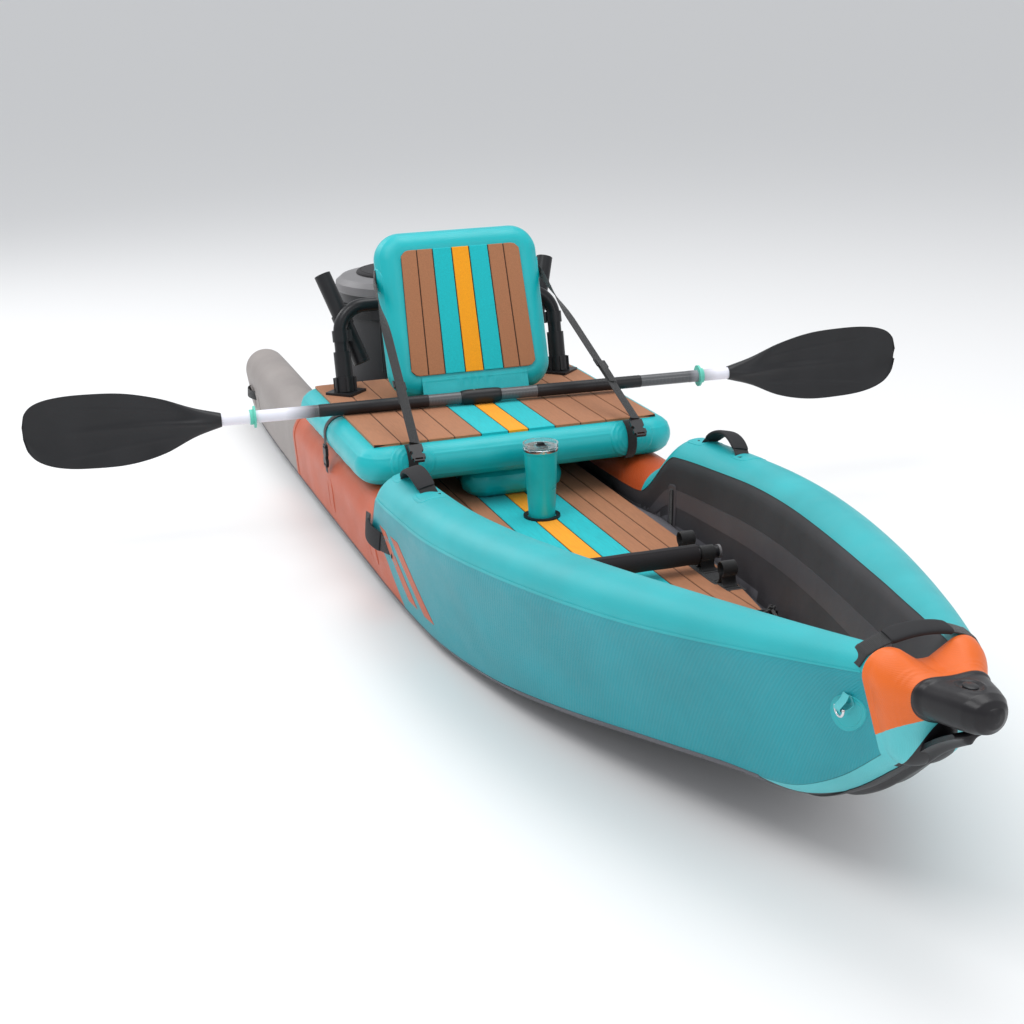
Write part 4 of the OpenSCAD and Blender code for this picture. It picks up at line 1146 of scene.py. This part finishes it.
def ladders():
    # two webbing strips on the floor, each with three upright loops for the foot brace
    y, z, r = ladder["y"], ladder["tubeZ"], ladder["loopR"]
    runs = []
    strip = np.linspace([0.34, y, 0.1587], [0.64, y, 0.1587], 60)
    runs.append(sweep(strip, roundBar(0.038, 0.0028, 5, 20), (0, 1, 0)))
    for x in ladder["loops"]:
        a = np.radians(np.linspace(-62, 242, 44))
        ring = np.stack([x + r * np.cos(a), 0 * a + y, z + r * np.sin(a)], -1)
        feet = np.array([[x + 0.02, y, 0.1605], [x + 0.0105, y, 0.165], [x + 0.006, y, 0.176]])
        farFeet = feet[::-1] * [-1, 1, 1] + [2 * x, 0, 0]
        runs.append(ribbon(np.vstack([feet, ring, farFeet]), (0, 1, 0), 0.034, 0.0022, 90))
        for dx in (-0.03, 0.03):
            stitch = np.linspace([x + dx, 0.192, 0.1606], [x + dx, 0.226, 0.1606], 8)
            runs.append(sweep(stitch, roundBar(0.0022, 0.0016, 2, 10), (1, 0, 0)))
    plate = np.linspace([0.335, y, 0.1576], [0.645, y, 0.1576], 30)
    runs.append(sweep(plate, roundBar(0.052, 0.0012, 6, 20), (0, 1, 0)))
    grids = [mirrored(run, side) for side, _ in sides for run in runs]
    obj = piece("ladders", grids, strapBlack)
    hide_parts("brace_ladders")


def braceRoll():
    # foam roll on the brace's tube: slightly uneven, with one seam along it and open ends
    y = np.concatenate([[-0.185, -0.185], np.linspace(-0.1835, 0.1835, 100), [0.185, 0.185]])[:, None]
    r = np.concatenate([[0.0145, 0.0215], np.full(100, 0.023), [0.0215, 0.0145]])[:, None]
    a = np.linspace(0, 2 * pi, 49)[None]
    r = r * (1 + 0.012 * np.sin(y * 70)) + 0.0009 * bell(a - 1.2, 0.06)
    middle = [ladder["loops"][1], 0, ladder["tubeZ"]]
    skin = np.stack(np.broadcast_arrays(r * np.cos(a), y, r * np.sin(a)), -1) + middle
    grids = [skin, skin[[0, -1]][::-1]]
    roll = piece("brace_roll", grids, foams["black"], body="foot_brace")
    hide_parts("brace_foam")


def bungee():
    # five runs of elastic cord between four anchors, with a small knot at each anchor
    aft, fore = np.array([0.83, 0.2, 0.184]), np.array([1.01, 0.15, 0.192])
    other = np.array([1, -1, 1])
    runs = [(aft, aft * other, 0), (aft, fore * other, 0), (aft * other, fore, 0.008), (aft, fore, 0),
            (aft * other, fore * other, 0)]
    grids = []
    for a, b, lift in runs:
        rise = np.array([0, 0, lift])
        points = [a, (3 * a + b) / 4 + rise * 0.8, (a + b) / 2 + rise, (a + 3 * b) / 4 + rise * 0.8, b]
        grids.append(sweep(along(points, 40), roundBar(0.006, 0.006, 2, 16), (0, 0, 1)))
    t = np.linspace(0, 2 * pi * 2, 60)
    knot = np.stack([0.0055 * np.cos(t), 0.0055 * np.sin(t), 0.006 * np.sin(t * 1.5)], -1)
    for p in (aft, aft * other, fore, fore * other):
        grids.append(sweep(knot + p, roundBar(0.006, 0.006, 2, 12), (0.2, 0.1, 1)))
    elastic = webbing("elastic_cord", (0.014, 0.013, 0.014), rough=0.7)
    obj = piece("bow_bungee", grids, elastic)
    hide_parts("bungee")


allHandles()
ringTabs()
ladders()
braceRoll()
bungee()
print("webbing")

# ---- paddle: blades, ferrule, grips, white bands ----
paddle = {"at": (-0.488, 0, 0.3595), "swing": -4.6, "tilt": 0.5, "root": 0.70, "long": 0.5,
          # the blade's upper and lower edge in millimetres: distance from its root, distance from its middle
          "up": [[0, 18], [70, 38], [150, 70], [240, 92], [330, 99], [410, 98], [465, 86], [492, 62],
                 [500, 30]],
          "down": [[0, 18], [70, 40], [150, 76], [240, 96], [330, 97], [410, 88], [465, 66], [492, 34],
                   [500, 0]]}


def paddled(points):
    # the paddle's own frame, its shaft along y, to where it lies across the seat
    return turned(turned(points, "X", paddle["tilt"]), "Z", paddle["swing"]) + np.array(paddle["at"])


def tube(y, r, count=40):
    a = np.linspace(0, 2 * pi, count + 1)
    y, r = np.asarray(y, float)[:, None], np.asarray(r, float)
    r = r[:, None] if r.ndim == 1 else r
    return np.stack(np.broadcast_arrays(r * np.cos(a), y, r * np.sin(a)), -1)


def blades():
    # thin spooned blades: a thick neck, a spine that dies out along the blade and two low ribs on each face
    for side, body, node in ((1, "paddle_port_half", "blade_port"), (-1, "paddle", "blade_starboard")):
        t = 1 - (1 - np.linspace(0, 1, 90)) ** 1.3
        reach = t * paddle["long"] * 1000
        up, down = follow(paddle["up"], reach) / 1000, follow(paddle["down"], reach) / 1000
        down = np.maximum(down, 0)
        v = np.sin(np.linspace(-pi / 2, pi / 2, 61))[None]
        z = np.where(v > 0, up[:, None] * v, down[:, None] * v)
        u = (reach / 1000)[:, None]
        neck = 1 - ease((u - 0.055) / 0.13)
        dome = np.sqrt(np.clip(1 - v**2, 0, 1))
        thick = 0.0011 + 0.0022 * dome + 0.0168 * neck * dome
        spine = 0.0062 * bell(z, 0.0085) * (1 - ease((u - 0.16) / 0.3)) * ease(u / 0.06)
        ribAt = 0.022 + 0.11 * u
        rib = 0.0016 * (bell(z - ribAt, 0.003) + bell(z + ribAt, 0.003))
        rib = rib * ease((u - 0.1) / 0.08) * (1 - ease((u - 0.34) / 0.1))
        spoon = 0.011 * (v**2) * ease(u / 0.2) - 0.012 * np.sin(pi * np.clip(u / 0.5, 0, 1))
        y, depth = side * (paddle["root"] + u), thick + spine + rib
        face, rear = (np.stack(np.broadcast_arrays(spoon + k * depth, y, z), -1) for k in (1, -1))
        grids = [paddled(g) for g in slab(face, rear)]
        obj = piece(node + "_spoon", grids, bladeNylon, body=body, sharp=55)
        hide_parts(node)


def shaftDetails():
    # ferrule: a soft bulge with a seam round it. Grips: raised studs. Bands: white, fading at one end
    y = np.concatenate([[-0.062], np.linspace(-0.061, 0.049, 60), [0.05]])
    t = (y + 0.006) / 0.056
    r = 0.0162 + 0.0042 * np.sqrt(np.clip(1 - t**4, 0, 1)) - 0.0005 * bell(y, 0.0012)
    r[[0, -1]] = 0.0155
    bulge = paddled(tube(y, r, 48))
    obj = piece("ferrule_bulge", [bulge], blackPlastic, body="paddle")
    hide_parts("ferrule")
    for side, body in ((1, "paddle_port_half"), (-1, "paddle")):
        y = np.linspace(0.15, 0.445, 236)
        a = np.linspace(0, 2 * pi, 57)
        stud = np.clip(np.sin(y * 2 * pi / 0.010)[:, None] * np.sin(a * 14)[None], 0, 1) ** 2
        ring = np.clip(np.minimum(y - 0.15, 0.445 - y) / 0.002, 0, 1)
        r = 0.0161 + (0.0006 + 0.0006 * stud) * ring[:, None]
        skin = paddled(mirrored(tube(y, r, 56), side))
        piece("grip_" + body, [skin], bladeNylon, body=body)
        inner = 0.455 if side < 0 else 0.585
        y = np.linspace(inner, 0.702, 60)
        skin = paddled(mirrored(tube(y, np.full(60, 0.0163), 40), side))
        uv = np.stack(np.broadcast_arrays((y - inner)[:, None], np.linspace(0, 0.1, 41)[None]), -1)
        piece("band_" + body, [(skin, 0, uv)], fadedWhite("white_band_" + body), body=body)


blades()
shaftDetails()
print("paddle")

# ---- cooler and tumbler ----
cooler = {"at": np.array([-1.162, -0.02, 0.151]), "strapZ": 0.349, "strapWide": 0.038, "strapR": 0.2065,
          "buckle": -38}


def coolerPieces():
    at, z, out = cooler["at"], cooler["strapZ"], cooler["strapR"]
    profile = [[0, 0.4561], [0.06, 0.4559], [0.11, 0.4552], [0.135, 0.4545], [0.1355, 0.4535],
               [0.1385, 0.4535], [0.139, 0.4543], [0.1455, 0.4525], [0.149, 0.4495], [0.15, 0.446],
               [0.15, 0.4455], [0, 0.4455]]
    pad = revolve(profile, 72) + at
    obj = piece("lid_pad", [pad], foams["black"], body="cooler_top", sharp=25)
    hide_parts("cooler_pad")
    band = revolve(closedRing(roundBar(0.003, cooler["strapWide"], 6, 22)) + [out, z], 96)
    grids = [(band + at, 0)]
    place = np.array(Matrix.Rotation(math.radians(cooler["buckle"]), 3, "Z"))
    for wide, high, thick in ((0.05, 0.034, 0.012), (0.026, 0.042, 0.006)):
        run = np.linspace([out + 0.003, -wide / 2, z], [out + 0.003, wide / 2, z], 14)
        grids.append((sweep(run, roundBar(thick, high, 4, 22), (1, 0, 0)) @ place.T + at, 1))
    obj = piece("cooler_band", grids, [strapBlack, blackPlastic], body="cooler")
    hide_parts("cooler_strap")
    start = place @ np.array([out + 0.011, 0.006, z - 0.012]) + at
    steps = [[0, 0, 0], [0.006, -0.003, -0.012], [0.007, -0.004, -0.05], [0.0045, -0.002, -0.1],
             [0.006, -0.001, -0.15]]
    points = [start + step for step in steps]
    path = along(points, 80)
    tail = sweep(path, roundBar(0.004, 0.004, 2, 14), (0, 1, 0.2))
    obj = piece("cooler_cord", [tail], strapBlack, body="cooler")
    knot = revolve([[0, -0.0045], [0.003, -0.0035], [0.0045, 0], [0.003, 0.0035], [0, 0.0045]], 24) + path[-1]
    end = piece("cooler_cord_knot", [knot], strapBlack, body="cooler")


def tumblerRim():
    rim = closedRing([[0.0415, 0.170], [0.0427, 0.1705], [0.0437, 0.174], [0.0437, 0.1775], [0.0425, 0.1787],
                      [0.0412, 0.178]])
    lip = revolve(rim, 64) + [-0.024, 0, 0.157]
    piece("tumbler_rim", [lip], finishes["steel"], body="tumbler")


coolerPieces()
tumblerRim()
print("gear")

# ---- floor, light ----


def studio():
    lowest = min(cadBox[0].z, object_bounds()[0].z)
    size = 300
    corners = [(x * size, y * size, lowest) for x, y in ((-1, -1), (1, -1), (1, 1), (-1, 1))]
    mesh = bpy.data.meshes.new("ground")
    mesh.from_pydata(corners, [], [(0, 1, 2, 3)])
    ground = bpy.data.objects.new("ground", mesh)
    bpy.context.scene.collection.objects.link(ground)
    mesh.materials.append(nodeSet("ground_paint", (0.86, 0.86, 0.86), 0.7)[0])
    ground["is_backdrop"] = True
    lights = [("key", (1.4, -2.6, 5.2), 2.6, 105), ("top", (-0.8, 1.0, 5.6), 3.2, 115),
              ("bow", (5.8, 1.8, 3.2), 2.2, 50), ("rim", (-4.2, -2.6, 3.4), 2.4, 60)]
    for name, at, width, watts in lights:
        data = bpy.data.lights.new(name, "AREA")
        data.size, data.energy = width, watts
        lamp = bpy.data.objects.new(name, data)
        bpy.context.scene.collection.objects.link(lamp)
        lamp.location = at
        lamp.rotation_euler = (Vector((0.1, 0, 0.2)) - Vector(at)).to_track_quat("-Z", "Y").to_euler()
    world = bpy.data.worlds.new("studio")
    bpy.context.scene.world = world
    world.use_nodes = True
    world.node_tree.nodes["Background"].inputs["Color"].default_value = (0.95, 0.97, 1, 1)
    world.node_tree.nodes["Background"].inputs["Strength"].default_value = 0.68


studio()
bpy.context.scene.view_settings.view_transform = "Standard"
print("scene ready")
